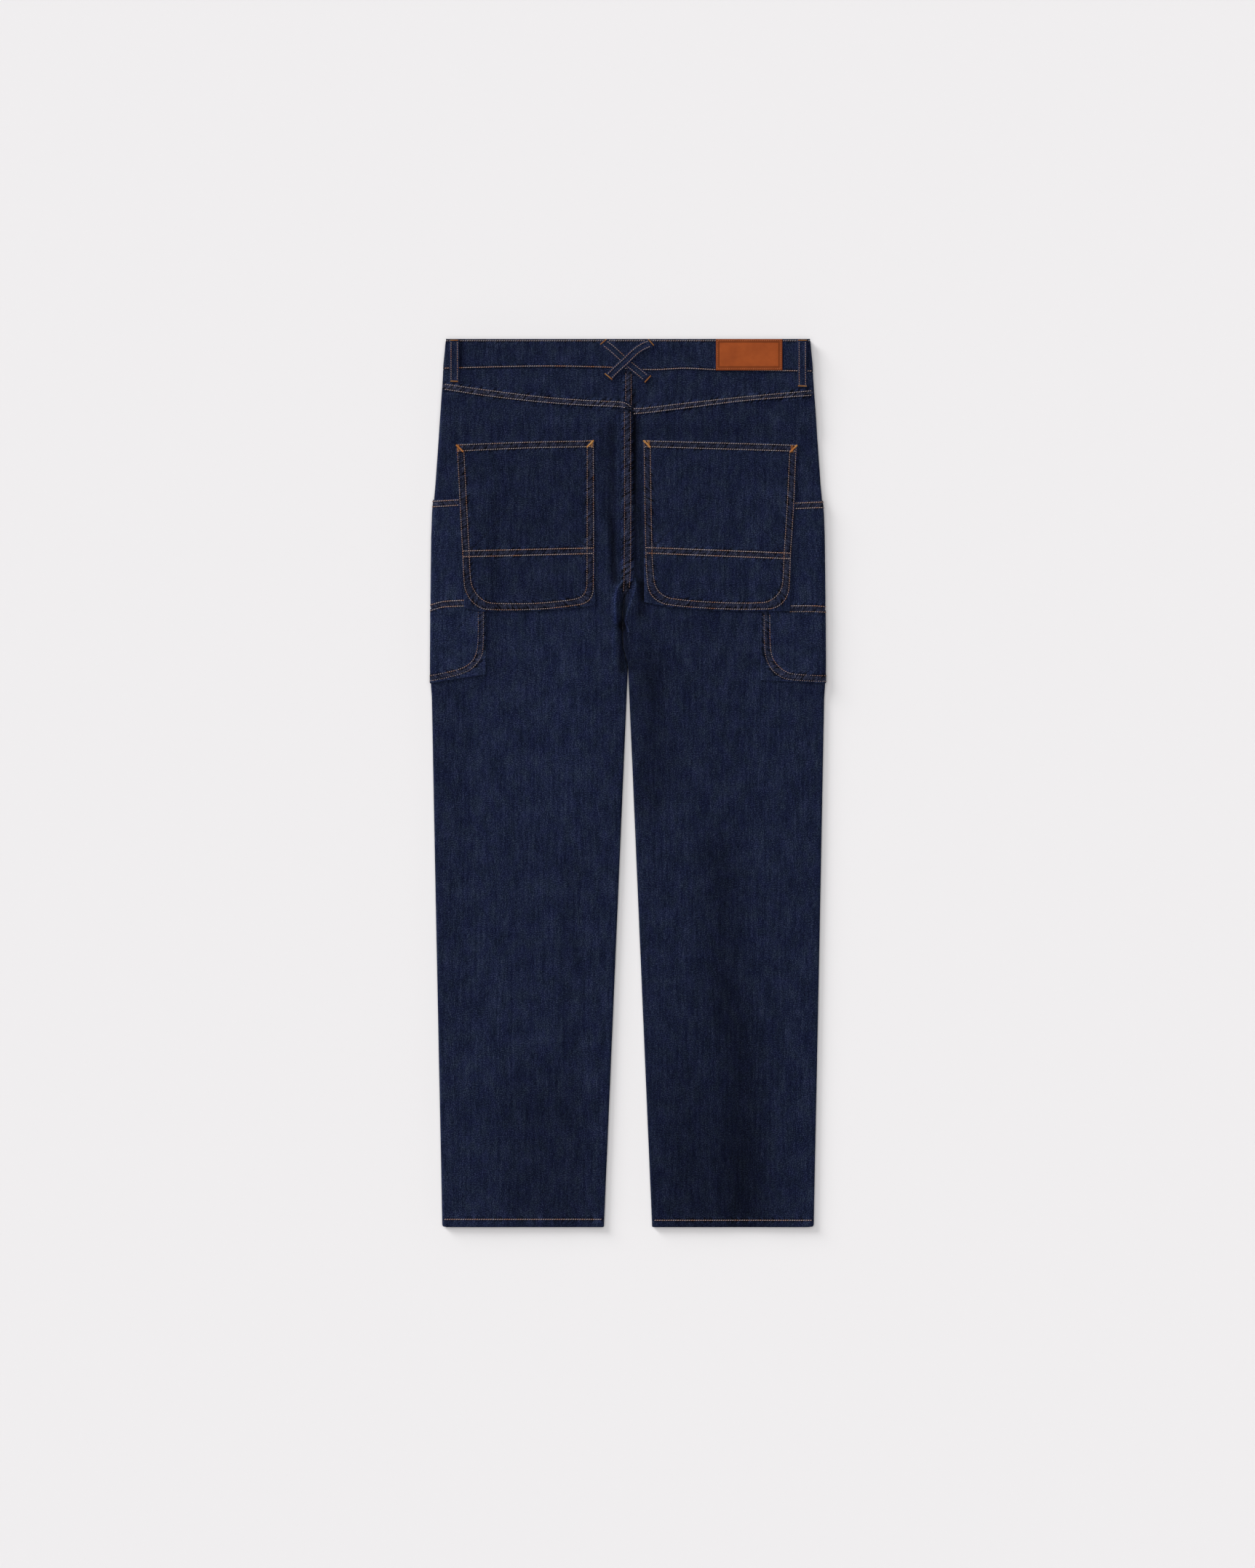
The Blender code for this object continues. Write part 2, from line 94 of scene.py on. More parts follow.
# Waist
BAND_CLOTH = 2.2 * MM
BAND_TOP = 8.6 * MM
BAND_HALF = 222.4 * MM
BAND_DEPTH = 37 * MM
BAND_BEND = 80.0
BAND_COLUMNS = {"front left": 70, "bend": 9, "back": 150, "front right": 64}
BAND_CALM = 12 * MM
FRONT_DIP = 24 * MM
FLY_EDGE = 10 * MM

# Sewn edges
FOLD_ROUND = 1.1 * MM
RIM_SHARE = 0.3
LAP_RISE = 0.8 * MM
LAP_WIDTH = 10.5 * MM
LAP_TONES = {"centre": 0.10, "yoke": 0.12}
LAP_ENDS = {  # where a lap begins and stops falling away
    "centre": (LAP_WIDTH, LAP_WIDTH + 2.5 * MM),
    "yoke": (LAP_WIDTH - 2 * MM, LAP_WIDTH + 0.5 * MM),
}
HEM_DEPTH = 11 * MM
HEM_TOP = LENGTH - HEM_DEPTH
HEM_CLOTH = 2.4 * MM
HEM_RISE = 0.25 * MM
HEM_RISE_ENDS = (HEM_TOP - 2 * MM, HEM_TOP)
HEM_CLOTH_ENDS = (HEM_TOP - 1 * MM, HEM_TOP + 1 * MM)
ALLOWANCE_ENDS = (9.5 * MM, 12.5 * MM)
ALLOWANCE_RISE = {"back": 0.55 * MM, "side": 0.35 * MM}
RISE_FROM_EDGE = 4 * MM
EDGE_TONES = {  # tone at the edge, and how far in it reaches
    "side": (0.10, 5 * MM),
    "waistband": (0.16, 2.5 * MM),
    "back pocket": (0.30, 2 * MM),
    "side pocket": (0.26, 2 * MM),
    "loop": (0.28, 1.6 * MM),
    "patch": (-0.20, 0.9 * MM),
}

# How finely the cloth is divided
FINE = 2.6 * MM
COARSE = 4.5 * MM
EDGE_STEPS = (0.0, 0.12, 0.4, 0.8, 1.3, 2.2)
ROLL_SHARES = (0.0, 0.03, 0.1, 0.22, 0.38, 0.58, 0.8)
INNER_SHARES = (0.0, 0.015, 0.03, 0.06, 0.1, 0.15, 0.22, 0.3, 0.38, 0.48, 0.58, 0.69, 0.8, 0.9)
SEAM_STRIP = 0.14
LEVEL_FROM = 120 * MM
GRID_PASSES = {"leg": 5, "pocket": 6}
GRID_LENGTHS = {  # about how long a grid is, which settles how many rows it has
    "yoke": 48 * MM,
    "back leg": 40 * MM,
    "front leg": 60 * MM,
    "back pocket": 203 * MM,
    "side pocket": 100 * MM,
}
POCKET_WIDTH = 168 * MM
BACK_COLUMNS = (30, 64)  # by the centre seam, and beyond
FRONT_COLUMNS = (8, 44)
CROTCH_ROWS = (284 * MM, 404 * MM)
LEG_ROWS_FROM = 440 * MM
HEM_ROWS = 3 * MM
LEG_STEPS = {"back": (FINE, 1.5 * MM, COARSE), "front": (COARSE, FINE, 6 * MM)}  # seat, crotch, leg
BAND_STEP = 2.0 * MM

# Thread
STITCH_PITCH = 2.75 * MM
STITCH_SLANT = 0.40 * MM
# Painted shade: stitches in rows running down the cloth get a weaker painted highlight than those in rows
# across it
DOWN_ROW_PAINTED_SHADE = 0.28
# Each style's brightness is the strength of the painted highlight on its stitches' middles; the faint rows
# beside the centre seam are painted in shade
STITCH_STYLES = {  # radius, share of the pitch, brightness, how grey
    "rope": (0.46 * MM, 1.0, 1.00, 0.65),
    "dots": (0.42 * MM, 0.88, 0.95, 1.05),
    "sides": (0.40 * MM, 0.84, 0.95, 0.70),
    "faint": (0.39 * MM, 0.84, 0.45, 1.05),
    "edge": (0.30 * MM, 0.80, 1.0, 0.5),
}
THREAD_CLEAR = 1.2 * STITCH_STYLES["rope"][0]
THREAD_ROOM = 0.45 * MM
ROOM_ENDS = (3 * MM, 9 * MM)
SIDE_THREAD_STAND = SEAM_GAP + CLOTH + 0.05 * MM
FRONT_THREAD_STAND = 0.2 * MM
ROW_STEP = 1.2 * MM
FRONT_ROW_STEP = 1.5 * MM
FRONT_BAND_ROWS = (0.06, 0.94)
FRONT_BAND_ROW_HALF = 219 * MM
FRONT_BAND_ROW_POINTS = 240

# How strongly the seams rope, partly as wear and partly as painted light and shade of their puckers, and how
# far from their rows
BODY_ROPE = 0.55
POCKET_ROPE = 0.42
BAND_ROPE = 0.5
SINGLE_ROW_SHARE = 0.55
ROPE_ENDS = (2.0 * MM, 5.5 * MM)
PUCKER_WAVES = (8.3 * MM, 12.1 * MM, 19.7 * MM)
PUCKER_SLANT = 0.7
PUCKER_TONE_LEVEL = 0.35
PUCKER_PHASE = 2.4
PUCKER_OFFSET = 1.3
SIDE_PUCKER = (6, 0.16, 0.07)  # reach, rise, tone
SIDE_CALM = 5 * MM

# The seam as the denim's material sees it, in millimetres across the seam
ROW_APART = 3.3
PRESS_HALF = 1.8
# Painted shade along each row of stitches, and below it in the hollow beside the yoke's twin rows
ROW_PAINTED_SHADE = 0.66
HOLLOW_PAINTED_SHADE = 0.20
HOLLOW_OUT = 4.2
HOLLOW_HALF = 1.8
HOLLOW_ENDS = (6 * MM, 9 * MM)

OUTLINE = [  # down, half width of the body without its side pockets
    (0, 219.5), (15, 220.8), (30, 222.4), (47, 223.1), (82, 225.6), (120, 228.2), (174, 232),
    (189, 233.3), (205, 234.6), (240, 235.8), (290, 236.4), (345, 237), (417.5, 237.4),
    (432, 236.4), (643, 232.4), (818, 228.9), (993, 225.3), (1070, 223.8),
]
BACK_CENTRE = [  # down, across of the meeting line, left roll, right roll, turn down to the inseam
    (60, 5, 8, 8, 0),
    (290, 5, 8, 8, 0),
    (296, 4, 10, 7.8, 0.25),
    (301, 1.5, 12.5, 8.5, 0.6),
    (306, -1.5, 13.5, 9, 0.9),
    (312, -4, 11.5, 9, 1),
    (319, -5.5, 9.5, 6, 1),
    (328, -6.5, 7.5, 3.5, 1),
    (345, -6.5, 5.5, 3, 1),
    (370, -6, 4.2, 3, 1),
    (395, 0, 3.2, 3, 1),
    (1070, 0, 3, 3, 1),
]
FRONT_CENTRE = [  # the same for the front, from the fly's edge down
    (40, 10, 8, 8, 0),
    (205, 10, 8, 8, 0),
    (260, 6, 8, 8, 0),
    (290, 3, 8, 8, 0),
    (301, 1, 10, 8.5, 0.6),
] + BACK_CENTRE[4:]
# Columns of the two tables above
LEFT_ROLL, RIGHT_ROLL, TURN = 2, 3, 4
BAND_EDGE = [  # across, down of the back waistband's lower edge
    (-223, 37), (-105, 34.5), (-25, 35.8), (28, 38.7), (70, 37.2), (105, 38.7), (223, 40.3),
]
YOKE_EDGE = {  # across, down of the yoke's lapped lower edge
    "left": [(-223, 62.3), (-105, 77.4), (-20, 83), (5, 85)],
    "right": [(5, 91.7), (20, 91.2), (69, 85), (140, 76), (223, 69.3)],
}
# Each side pocket's tone is a painted falloff of the lamp's light, lighter on the left
SIDE_POCKET = {  # reach over the back; down at the fold and at the inner edge
    "left": {
        "tone": 0.2, "reach": 65.7,
        "top": (193.4, 191.8), "seam": (324.5, 319), "bottom": (415, 404.4),
    },
    "right": {
        "tone": 0.1, "reach": 77,
        "top": (194.5, 196), "seam": (326, 325.5), "bottom": (414.7, 411.5),
    },
}
FRONT_REACH = 66 * MM
BACK_POCKET = {
    "left": {
        "tone": -0.08,
        "outer": [(125.7, -207.8), (257, -200.6), (324.8, -197.1)],  # down, across
        "inner": [(121.1, -40.5), (321.7, -38.9)],
        "top": [(-207.8, 125.7), (-125.5, 122.6), (-40.5, 121.1)],  # across, down
        "bottom": [(-197.1, 325), (-176.6, 328.7), (-108.8, 327.9), (-60.4, 324), (-38.9, 321.7)],
    },
    "right": {
        "tone": -0.02,
        "outer": [(126.3, 204.4), (204.8, 200.9), (257.3, 197), (328, 195.4)],
        "inner": [(121.1, 18), (315.2, 19.5)],
        "top": [(18, 121.1), (106.7, 123.4), (204.4, 126.3)],
        "bottom": [(19.5, 317), (47.7, 323), (105, 327.4), (158.4, 328.3), (195.4, 328.3)],
    },
}

# Folds, bands and puckers of the laid back. Each follows a line; its tone is painted shade in hollows and
# painted highlight on ridges.
BACK_FOLDS = [  # points (across, down), half width, rise, tone
    ([(6.8, 62), (7, 92), (7.5, 200), (9, 292)], 5.5, -1.1, -0.5),
    ([(9, 100), (13, 200), (16.5, 245), (18, 312)], 11, -1.2, -0.46),
    ([(-31, 112), (-28, 190), (-19, 232), (-16, 292)], 7, -0.6, -0.24),
    ([(-20, 108), (-18.5, 200), (-17, 288)], 11, -0.4, -0.44),
    ([(-11, 92), (-11, 205), (-12, 292)], 3.5, 0.4, 0.06),
    ([(-38, 110), (-37, 205), (-33, 300)], 6, 0.35, 0.08),
    ([(-7.4, 292), (-13.6, 301), (-15.6, 313), (-15, 342)], 2.2, 0.5, 1.05),
    ([(-17, 308), (-16.8, 339), (-16.6, 392)], 4.2, 0.35, 0.46),
    ([(8.8, 289), (9.2, 299), (5.4, 311), (-0.6, 328), (-3.4, 340), (0.6, 352)], 1.9, 0.45, 0.95),
    ([(4, 92), (4.2, 205), (4, 292)], 2, 0.2, 0.3),
    ([(-4, 297), (-5.5, 315), (-6.2, 345)], 10, -1.2, -0.7),
    ([(-6.6, 345), (-7, 398)], 10, -0.4, -0.62),
    ([(18, 296), (20, 318), (14, 332)], 12, -0.5, -0.4),
    ([(2, 355), (4, 398)], 8, -0.3, -0.24),
    ([(20, 335), (34, 420)], 34, -0.2, -0.14),
    # Broad bands without rise, here and further on: a painted falloff of the lamp's light, lighter over the
    # left leg and darker over the right leg and towards the hems
    ([(-104, 130), (-104, 420), (-108, 1090)], 130, 0, 0.05),
    ([(-104, 330), (-108, 520)], 110, 0, 0.06),
    ([(110, 120), (112, 1090)], 130, 0, -0.05),
    ([(118, 830), (122, 1110)], 120, 0, -0.16),
    ([(-40, 336), (-110, 362)], 12, -0.5, -0.03),
    ([(38, 336), (100, 368)], 13, -0.5, -0.03),
    ([(-30, 94), (-100, 106)], 7, 0.35, 0.03),
    ([(40, 100), (120, 108)], 7, 0.3, 0.03),
    ([(26, 400), (34, 520), (22, 560)], 42, -0.8, -0.26),
    ([(112, 620), (118, 780), (140, 880), (142, 1090)], 46, -1.3, -0.28),
    ([(60, 900), (56, 1100)], 60, -0.4, -0.16),
    ([(175, 420), (180, 640)], 40, 0.6, 0.06),
    ([(-62, 640), (-66, 860), (-60, 1090)], 30, -0.9, -0.1),
    ([(-165, 440), (-172, 760), (-168, 1080)], 38, 0.7, 0.07),
    ([(-70, 380), (-72, 560)], 44, 0.4, 0.07),
    ([(-110, 930), (-110, 1120)], 100, 0, -0.26),
    ([(110, 1000), (110, 1120)], 110, 0, -0.14),
]
# The puckers' tone lightens along the seam, with painted highlight on their crests and painted shade in
# their troughs; so too in the waistband's, pockets' and side pockets' puckers
PUCKERS = [  # points (across, down), reach, rise, tone
    ([(-223, 57), (-105, 72.5), (-20, 78)], 6, 0.22, 0.22),
    ([(20, 86), (69, 80.5), (140, 72), (223, 65)], 6, 0.22, 0.22),
    ([(-1, 90), (-1, 298)], 7, 0.2, 0.18),
    ([(-223, 41), (-25, 40), (28, 43), (223, 44)], 7, 0.22, 0.06),
    ([(-208, 126), (-40, 121), (-40, 318)], 6, 0.15, 0.05),
    ([(18, 121), (204, 126)], 6, 0.15, 0.05),
    ([(-197, 329), (-110, 332), (-39, 325)], 6, 0.2, 0.06),
    ([(20, 320), (105, 331), (195, 332)], 6, 0.2, 0.06),
    ([(-172, 330), (-170, 404), (-240, 416)], 6, 0.2, 0.05),
    ([(160, 330), (160, 412), (240, 416)], 6, 0.2, 0.05),
    ([(-224, 1062), (-28, 1062)], 7, 0.2, 0.16),
    ([(28, 1062), (224, 1062)], 7, 0.2, 0.16),
]
# Wrinkles of the waistband, with the same columns: the tone is painted shade in their hollows and painted
# highlight on their ridges
BAND_FOLDS = [
    ([(50, 8), (58, 30)], 4, 0.5, 0.1),
    ([(66, 6), (76, 26)], 5, -0.5, -0.12),
    ([(84, 10), (92, 32)], 5, 0.55, 0.12),
    ([(-180, 10), (-150, 15), (-120, 12)], 6, -0.4, -0.08),
    ([(-90, 14), (-60, 12)], 6, -0.35, -0.08),
    ([(-45, 8), (-38, 26)], 4, 0.4, 0.1),
    # Painted shadows cast by the side belt loops on the waistband
    ([(-200.6, 4), (-200.6, 34)], 4.5, -0.5, -0.5),
    ([(218.5, 6), (219, 34)], 4, -0.2, -0.25),
]
BAND_PUCKERS = [
    ([(-223, 32), (-105, 29.5), (-25, 31), (28, 34), (105, 34), (223, 36)], 6, 0.18, 0.08),
    ([(-220, 4), (220, 4)], 5, 0.14, 0.08),
]
POCKET_PUCKERS = {
    "left": [
        ([(-205, 132), (-41, 126)], 6, 0.2, 0.12),
        ([(-204, 135), (-195, 300), (-170, 323), (-60, 316), (-45, 300), (-45, 125)], 6, 0.2, 0.1),
        ([(-199, 259), (-41, 255)], 6, 0.2, 0.08),
    ],
    "right": [
        ([(18, 126), (203, 132)], 6, 0.2, 0.12),
        ([(201, 132), (191, 300), (165, 322), (50, 317), (26, 295), (22, 125)], 6, 0.2, 0.1),
        ([(20, 255), (197, 262)], 6, 0.2, 0.08),
    ],
}
# Wrinkles of the back pockets: the tone is painted highlight on their ridges and painted shade in their
# hollows
POCKET_FOLDS = {
    "left": [
        ([(-170, 150), (-162, 240)], 5, 0.3, 0.05),
        ([(-120, 165), (-112, 235)], 6, -0.3, -0.04),
        ([(-75, 150), (-72, 240)], 5, 0.25, 0.04),
        ([(-150, 285), (-90, 290)], 9, 0.3, 0.03),
    ],
    "right": [
        ([(60, 150), (66, 235)], 5, 0.3, 0.05),
        ([(110, 160), (96, 200)], 6, -0.3, -0.04),
        ([(150, 150), (158, 240)], 5, 0.3, 0.04),
        ([(70, 290), (140, 292)], 9, 0.3, 0.03),
    ],
}

# Belt loops: middle of each strip, and the height of its underside
LOOPS = {
    "belt_loop_left": (11.5, [  # across, down, height
        (-209.1, 0.4, 8.9), (-209.1, 7, 9.3), (-209.1, 20, 9.6), (-209.1, 34, 9.4),
        (-209.1, 42, 8.9), (-209.2, 47.5, 8.4), (-209.2, 52.5, 8.32),
    ]),
    "belt_loop_right": (11.5, [
        (209.7, 0.4, 8.9), (209.7, 7, 9.3), (209.7, 22, 9.6), (209.7, 38, 9.4),
        (209.8, 47, 8.85), (209.9, 53, 8.4), (209.9, 58.4, 8.32),
    ]),
    "belt_loop_cross_under": (10.5, [
        (-29.5, 4.3, 8.95), (-21, 10.5, 9.1), (-12, 18.5, 9.15), (-2.8, 27, 9.05),
        (7, 35, 9.05), (15.8, 42.2, 9), (23, 48.5, 8.6),
    ]),
    "belt_loop_cross_over": (10.5, [
        (28.2, 5, 8.95), (20, 8.3, 9.7), (11.5, 13.5, 10.65), (4.5, 19.7, 11.15),
        (-2.8, 27, 11.25), (-9.5, 33, 11.15), (-15, 38, 10.5), (-19.8, 42.8, 9.2),
        (-24, 46.8, 8.6),
    ]),
}
LOOP_CLOTH = 1.6 * MM
FRONT_LOOP_ACROSS = 100 * MM
FRONT_LOOP_LENGTH = 50 * MM

# Seams: each has one or two rows of stitches, as points (across, down)
BACK_SEAMS = [
    ([(-221, 54.4), (-164.9, 62.4), (-105.3, 69.8), (-55.4, 73.8), (-8, 76.2), (-1, 78.4), (3.6, 82.2)],
     [(-221, 60.6), (-164.9, 69), (-105.3, 75.7), (-55.4, 79.5), (-8.4, 81.6), (-3.4, 83.4)]),
    ([(6.5, 83.9), (20.9, 83.3), (69, 77.5), (140.6, 69.8), (221, 62.4)],
     [(6.5, 90), (20.9, 88.9), (69, 83.1), (140.6, 74.2), (221, 67.8)]),
    ([(-2.8, 41), (-2.8, 75)], [(3.9, 42), (3.9, 80)]),
    ([(-4.3, 87.5), (-4.1, 204.8), (-4.6, 274.9), (-4.9, 293), (-5.4, 304)],
     [(2.9, 87.5), (3.3, 204.8), (3, 274.9), (2.4, 290), (1.4, 299.5)]),
    ([(-221.5, 1060.4), (-31.5, 1060.4)],),
    ([(31.5, 1061.6), (221.5, 1061.6)],),
]
POCKET_SEAMS = {
    "left": [
        ([(-205.8, 127.7), (-125.5, 124.6), (-42.4, 122.9)],
         [(-205.2, 135), (-125.5, 131.4), (-42, 129.6)]),
        ([(-205.6, 128.5), (-199, 255.6), (-196.8, 296), (-194.6, 305), (-189.5, 314), (-181.5, 321.4),
          (-171, 325.6), (-108.8, 325.4), (-60.4, 320.2), (-50, 317), (-43.8, 310.2), (-41.8, 300),
          (-41.8, 123.6)],
         [(-197.6, 136), (-191.2, 255.6), (-189.2, 291), (-186.2, 301), (-180, 310), (-171.5, 316.4),
          (-162, 318.4), (-108.8, 318.2), (-64, 313.4), (-54.4, 309), (-50.2, 301), (-49.4, 290),
          (-49, 130.4)]),
        ([(-199, 255.6), (-143, 254), (-42.4, 251.8)],
         [(-198.8, 262.6), (-143, 261), (-42.4, 258.4)]),
    ],
    "right": [
        ([(19.6, 122.9), (106.7, 125.2), (202.4, 128.2)],
         [(20, 129.6), (106.7, 132.2), (201.8, 135.2)]),
        ([(202.4, 128.8), (199, 204.8), (195.6, 257.3), (193.4, 302), (189.6, 313), (181, 321.6),
          (169, 325.2), (104.9, 324.6), (47.7, 319.8), (35, 314.8), (27.2, 306.5), (23.6, 294),
          (21.4, 251.2), (19.4, 123.6)],
         [(194.8, 135.6), (191.4, 204.8), (188, 257.3), (185.8, 296), (181.6, 306), (173.6, 313.6),
          (163, 317.6), (104.9, 317.2), (52, 312.6), (41.4, 308), (34.8, 301), (31.2, 290),
          (28.8, 251.2), (26.8, 130.4)]),
        ([(21.6, 251.2), (106.7, 254.4), (195.4, 258.2)],
         [(21.9, 257.8), (106.7, 261.2), (195, 264.8)]),
    ],
}
BACK_STYLES = ("dots", "dots", "faint", "faint", "rope", "rope")
POCKET_STYLES = ("dots", "sides", "rope")
SIDE_STYLES = ("rope", "rope", "sides")
BAND_STYLES = ("dots", "rope")
BAND_SEAMS = [
    ([(-219, 2.2), (219, 2.2)],),
    ([(-221, 35.2), (-105.3, 32.6), (-24.7, 34), (27.9, 37), (69, 35.2), (105, 36.9), (221, 38.6)],),
]

# Seams of the side pockets: inward from the side's fold, round which they wrap, and down
SIDE_SEAMS = {
    "left": [
        ([(34.6, 193.9), (0, 195.6), (-62, 195.4)], [(34.8, 200.2), (0, 202.2), (-62, 202)]),
        ([(44.6, 314.6), (18, 316.4), (0, 320.6), (-62, 320.2)],
         [(45.6, 321.6), (18, 323), (0, 327.6), (-62, 327.2)]),
        ([(60.8, 323), (60.6, 369), (56.6, 384.2), (49.8, 392), (40.2, 397.2), (22.6, 401.8), (0, 405.6),
          (-40, 404.4), (-52, 398), (-56.5, 386), (-57, 328)],
         [(67, 323), (66.9, 372), (64.6, 383), (58, 392.6), (50.2, 399.2), (36.2, 404.6), (0, 412),
          (-42, 411.4), (-58, 403), (-63.5, 388), (-63.6, 328)]),
    ],
    "right": [
        ([(37.6, 197.8), (0, 196.4), (-62, 196.2)], [(37.6, 204.4), (0, 203), (-62, 202.8)]),
        ([(48, 321.5), (18, 321.4), (0, 322.4), (-62, 322)],
         [(47, 328.6), (18, 328.4), (0, 329.2), (-62, 328.8)]),
        ([(70.6, 332), (70, 372), (67, 385), (59.6, 395), (49.6, 401.6), (38.6, 404), (0, 405.6),
          (-40, 404.4), (-52, 398), (-56.5, 386), (-57, 330)],
         [(77.4, 332), (76.8, 374), (73.6, 389), (65.2, 401.6), (52.6, 409), (38.6, 411), (0, 412.6),
          (-42, 411.4), (-58, 403), (-63.5, 388), (-63.6, 330)]),
    ],
}
FRONT_SEAMS = [
    ([(-26, 68), (-26, 175), (-20, 194), (-8, 206), (6, 212)],
     [(-32.5, 68), (-32.5, 177), (-25.5, 198.5), (-11.5, 212), (5, 218.5)]),
    ([(3.5, 214), (0.5, 262), (-2, 292)], [(-3, 219), (-5, 262), (-7, 292)]),
    ([(-221.5, 1060.4), (-31.5, 1060.4)],),
    ([(31.5, 1061.6), (221.5, 1061.6)],),
]

# Bar tacks: ends (across, down) and width
TACKS = [
    ((-213.3, 50.9), (-205, 51.3), 2),
    ((-213.6, 1.9), (-204.8, 1.9), 1.6),
    ((205, 56.6), (214.6, 57), 2),
    ((205, 1.9), (214.6, 1.9), 1.6),
    ((-33, 6.6), (-26.2, 0.9), 1.6),
    ((20.4, 52.2), (27.2, 44.6), 1.9),
    ((24.6, 1), (30.8, 7.8), 1.6),
    ((-27.6, 42), (-19.4, 48.8), 1.9),
]
CORNER_TACKS = [  # across, down of the middle; which way the heavy diagonal leans
    (-202.6, 131.7, 1),
    (-45.5, 126.4, -1),
    (22.8, 126.4, 1),
    (199.4, 132, -1),
]
CORNER_TACK_SIZE = 7.8 * MM
CORNER_PITCH = 1.5 * MM
CORNER_HEM_IN = 2.0 * MM
# The second number of each bar, and the loops' tack value below, is the strength of the painted highlight on
# its stitches
CORNER_BARS = {"top": (1.0 * MM, 0.3), "side": (4.2 * MM, 0.55), "heavy": (2.9 * MM, 1.2)}  # width, crest
LOOP_TACK_HIGHLIGHT = 0.6
TACK_GREY = 0.5
TACK_PITCH = 0.62 * MM
TACK_RADIUS = 0.38 * MM
TACK_LIFT = 0.25 * MM

# How a belt loop is turned in and grooved
LOOP_RIM = (0.25, 0.9 * MM)
LOOP_GROOVE = 0.28 * MM
LOOP_GROOVE_HALF = 2.2 * MM
LOOP_WAVE = 0.12
LOOP_TONE = 0.06
LOOP_ROWS = (-0.33, 0.33)
LOOP_GROOVE_ENDS = (2 * MM, 6 * MM)
LOOP_WAVE_IN = 2 * MM
LOOP_END_SHOWN = 0.1 * MM
LOOP_STEPS = {"along": 1.5 * MM, "across": 1.2 * MM}
FRONT_LOOP_WIDTH = 11.5

# Leather patch
PATCH = {"left": 105.8, "right": 185.8, "top": 0.2, "bottom": 38.0}
PATCH_STEP = 0.55 * MM
PATCH_THICK = 1.4 * MM
PATCH_RIM = (0.35, 0.7 * MM)
PATCH_CROWN = 0.15 * MM
PATCH_CROWN_ENDS = (5 * MM, 15 * MM)
PATCH_FRAME_IN = 3.9 * MM
PATCH_FRAME_HALF = 1.0 * MM
PATCH_FRAME_DEEP = 0.45 * MM
PATCH_BORDER_FADE = 1.2 * MM
PATCH_TONES = {"border": -0.20, "frame": -0.60, "stitches": -0.14}
PATCH_STITCH_IN = 1.9 * MM
PATCH_STITCH_HALF = 0.9 * MM
PATCH_STITCH_DEEP = 0.14 * MM
PATCH_STITCH_PITCH = 2.6 * MM
PATCH_THREAD_SUNK = 0.12 * MM

BUTTON = {"across": -4.0, "below edge": 18.0, "radius": 8.5, "thick": 1.6}
BUTTON_TURNS = 48
BUTTON_MIDDLE = 0.0005
BUTTON_PROFILE = np.array([  # share of the radius, share of the thickness
    (0.0, 0.30), (0.35, 0.24), (0.62, 0.16), (0.74, 0.02), (0.86, 0.0), (0.95, 0.10),
    (1.0, 0.35), (1.0, 0.75), (0.96, 0.95), (0.88, 1.0), (0.0, 1.0),
])
SHARP_CLOTH = 50.0
SHARP_BUTTON = 40.0

# The weave is shifted between pieces, so that it doesn't run on over their seams
WEAVE_SHIFTS = {"front leg": 0.7, "back pocket": 1.3, "side pocket": 2.1, "loop": 3.0}

# Denim
INDIGO = (0.0078, 0.0120, 0.0322)
SHEEN_TINT = (0.55, 0.62, 0.85, 1.0)
WEAVE = (  # scale across and down the cloth, detail, roughness, weight
    ((850.0, 130.0), 3.0, 0.6, 0.95),
    ((330.0, 22.0), 2.0, 0.5, 0.66),
    ((240.0, 900.0), 2.0, 0.6, 0.66),
    ((850.0, 850.0), 1.0, 0.5, 2.00),
    ((48.0, 34.0), 3.0, 0.6, 0.58),
)
TWILL_SCALE = (620.0, 400.0)
TWILL_WEIGHT = 0.22
DYE_STOPS = (  # place on the ramp, and gains of red, green and blue: pale weft greys the indigo
    (0.0, (0.20, 0.24, 0.36)),
    (0.30, (0.56, 0.60, 0.66)),
    (0.50, (1.0, 1.0, 1.0)),
    (0.75, (1.95, 1.85, 1.55)),
    (1.0, (4.2, 3.6, 2.4)),
)
DARKEST = 0.12
# How far the indigo drifts between grey and violet, over what scale and how steeply
HUE_SHIFTS = ((1.02, 1.04, 0.93), (1.0, 0.94, 1.08))
HUE_SCALE = (90.0, 60.0)
HUE_CONTRAST = (3.0, -1.0)
# Where two rows of stitches hold it, the cloth is worn greyer, and its roping's painted light and shade is
# steeper
LAP_HUE = (1.60, 1.18, 0.88)
LAP_NEAR = 2.0
ROPE_SLANT = 0.8
ROPE_SCALE = (0.30, 0.09)
ROPE_LEVEL = 0.47
ROPE_STEEPNESS = {"everywhere": 9.0, "more on a lap": 6.0}
PRESS_DEEP = 1.5

# Thread, leather and metal
# The third colour is painted shade where a stitch dips into the cloth
THREADS = {  # pale stretches, rusty stretches, and where a stitch dips into the cloth
    "thread": ((0.36, 0.325, 0.335), (0.36, 0.165, 0.085), (0.09, 0.032, 0.022)),
    "tack_thread": ((0.50, 0.27, 0.09), (0.40, 0.14, 0.03), (0.06, 0.014, 0.008)),
    "patch_thread": ((0.60, 0.20, 0.08), (0.36, 0.09, 0.025), (0.09, 0.02, 0.008)),
}
THREAD_SCALES = {"ply": (2100.0, 2100.0), "drift": (75.0, 75.0)}
DRIFT_NOISE = (3.0, 0.6)  # detail, roughness
THREAD_CONTRASTS = {"ply": (1.3, -0.65), "drift": (3.6, -1.8)}
LEATHER_STOPS = ((0.3, (0.245, 0.048, 0.008)), (0.7, (0.325, 0.068, 0.013)))
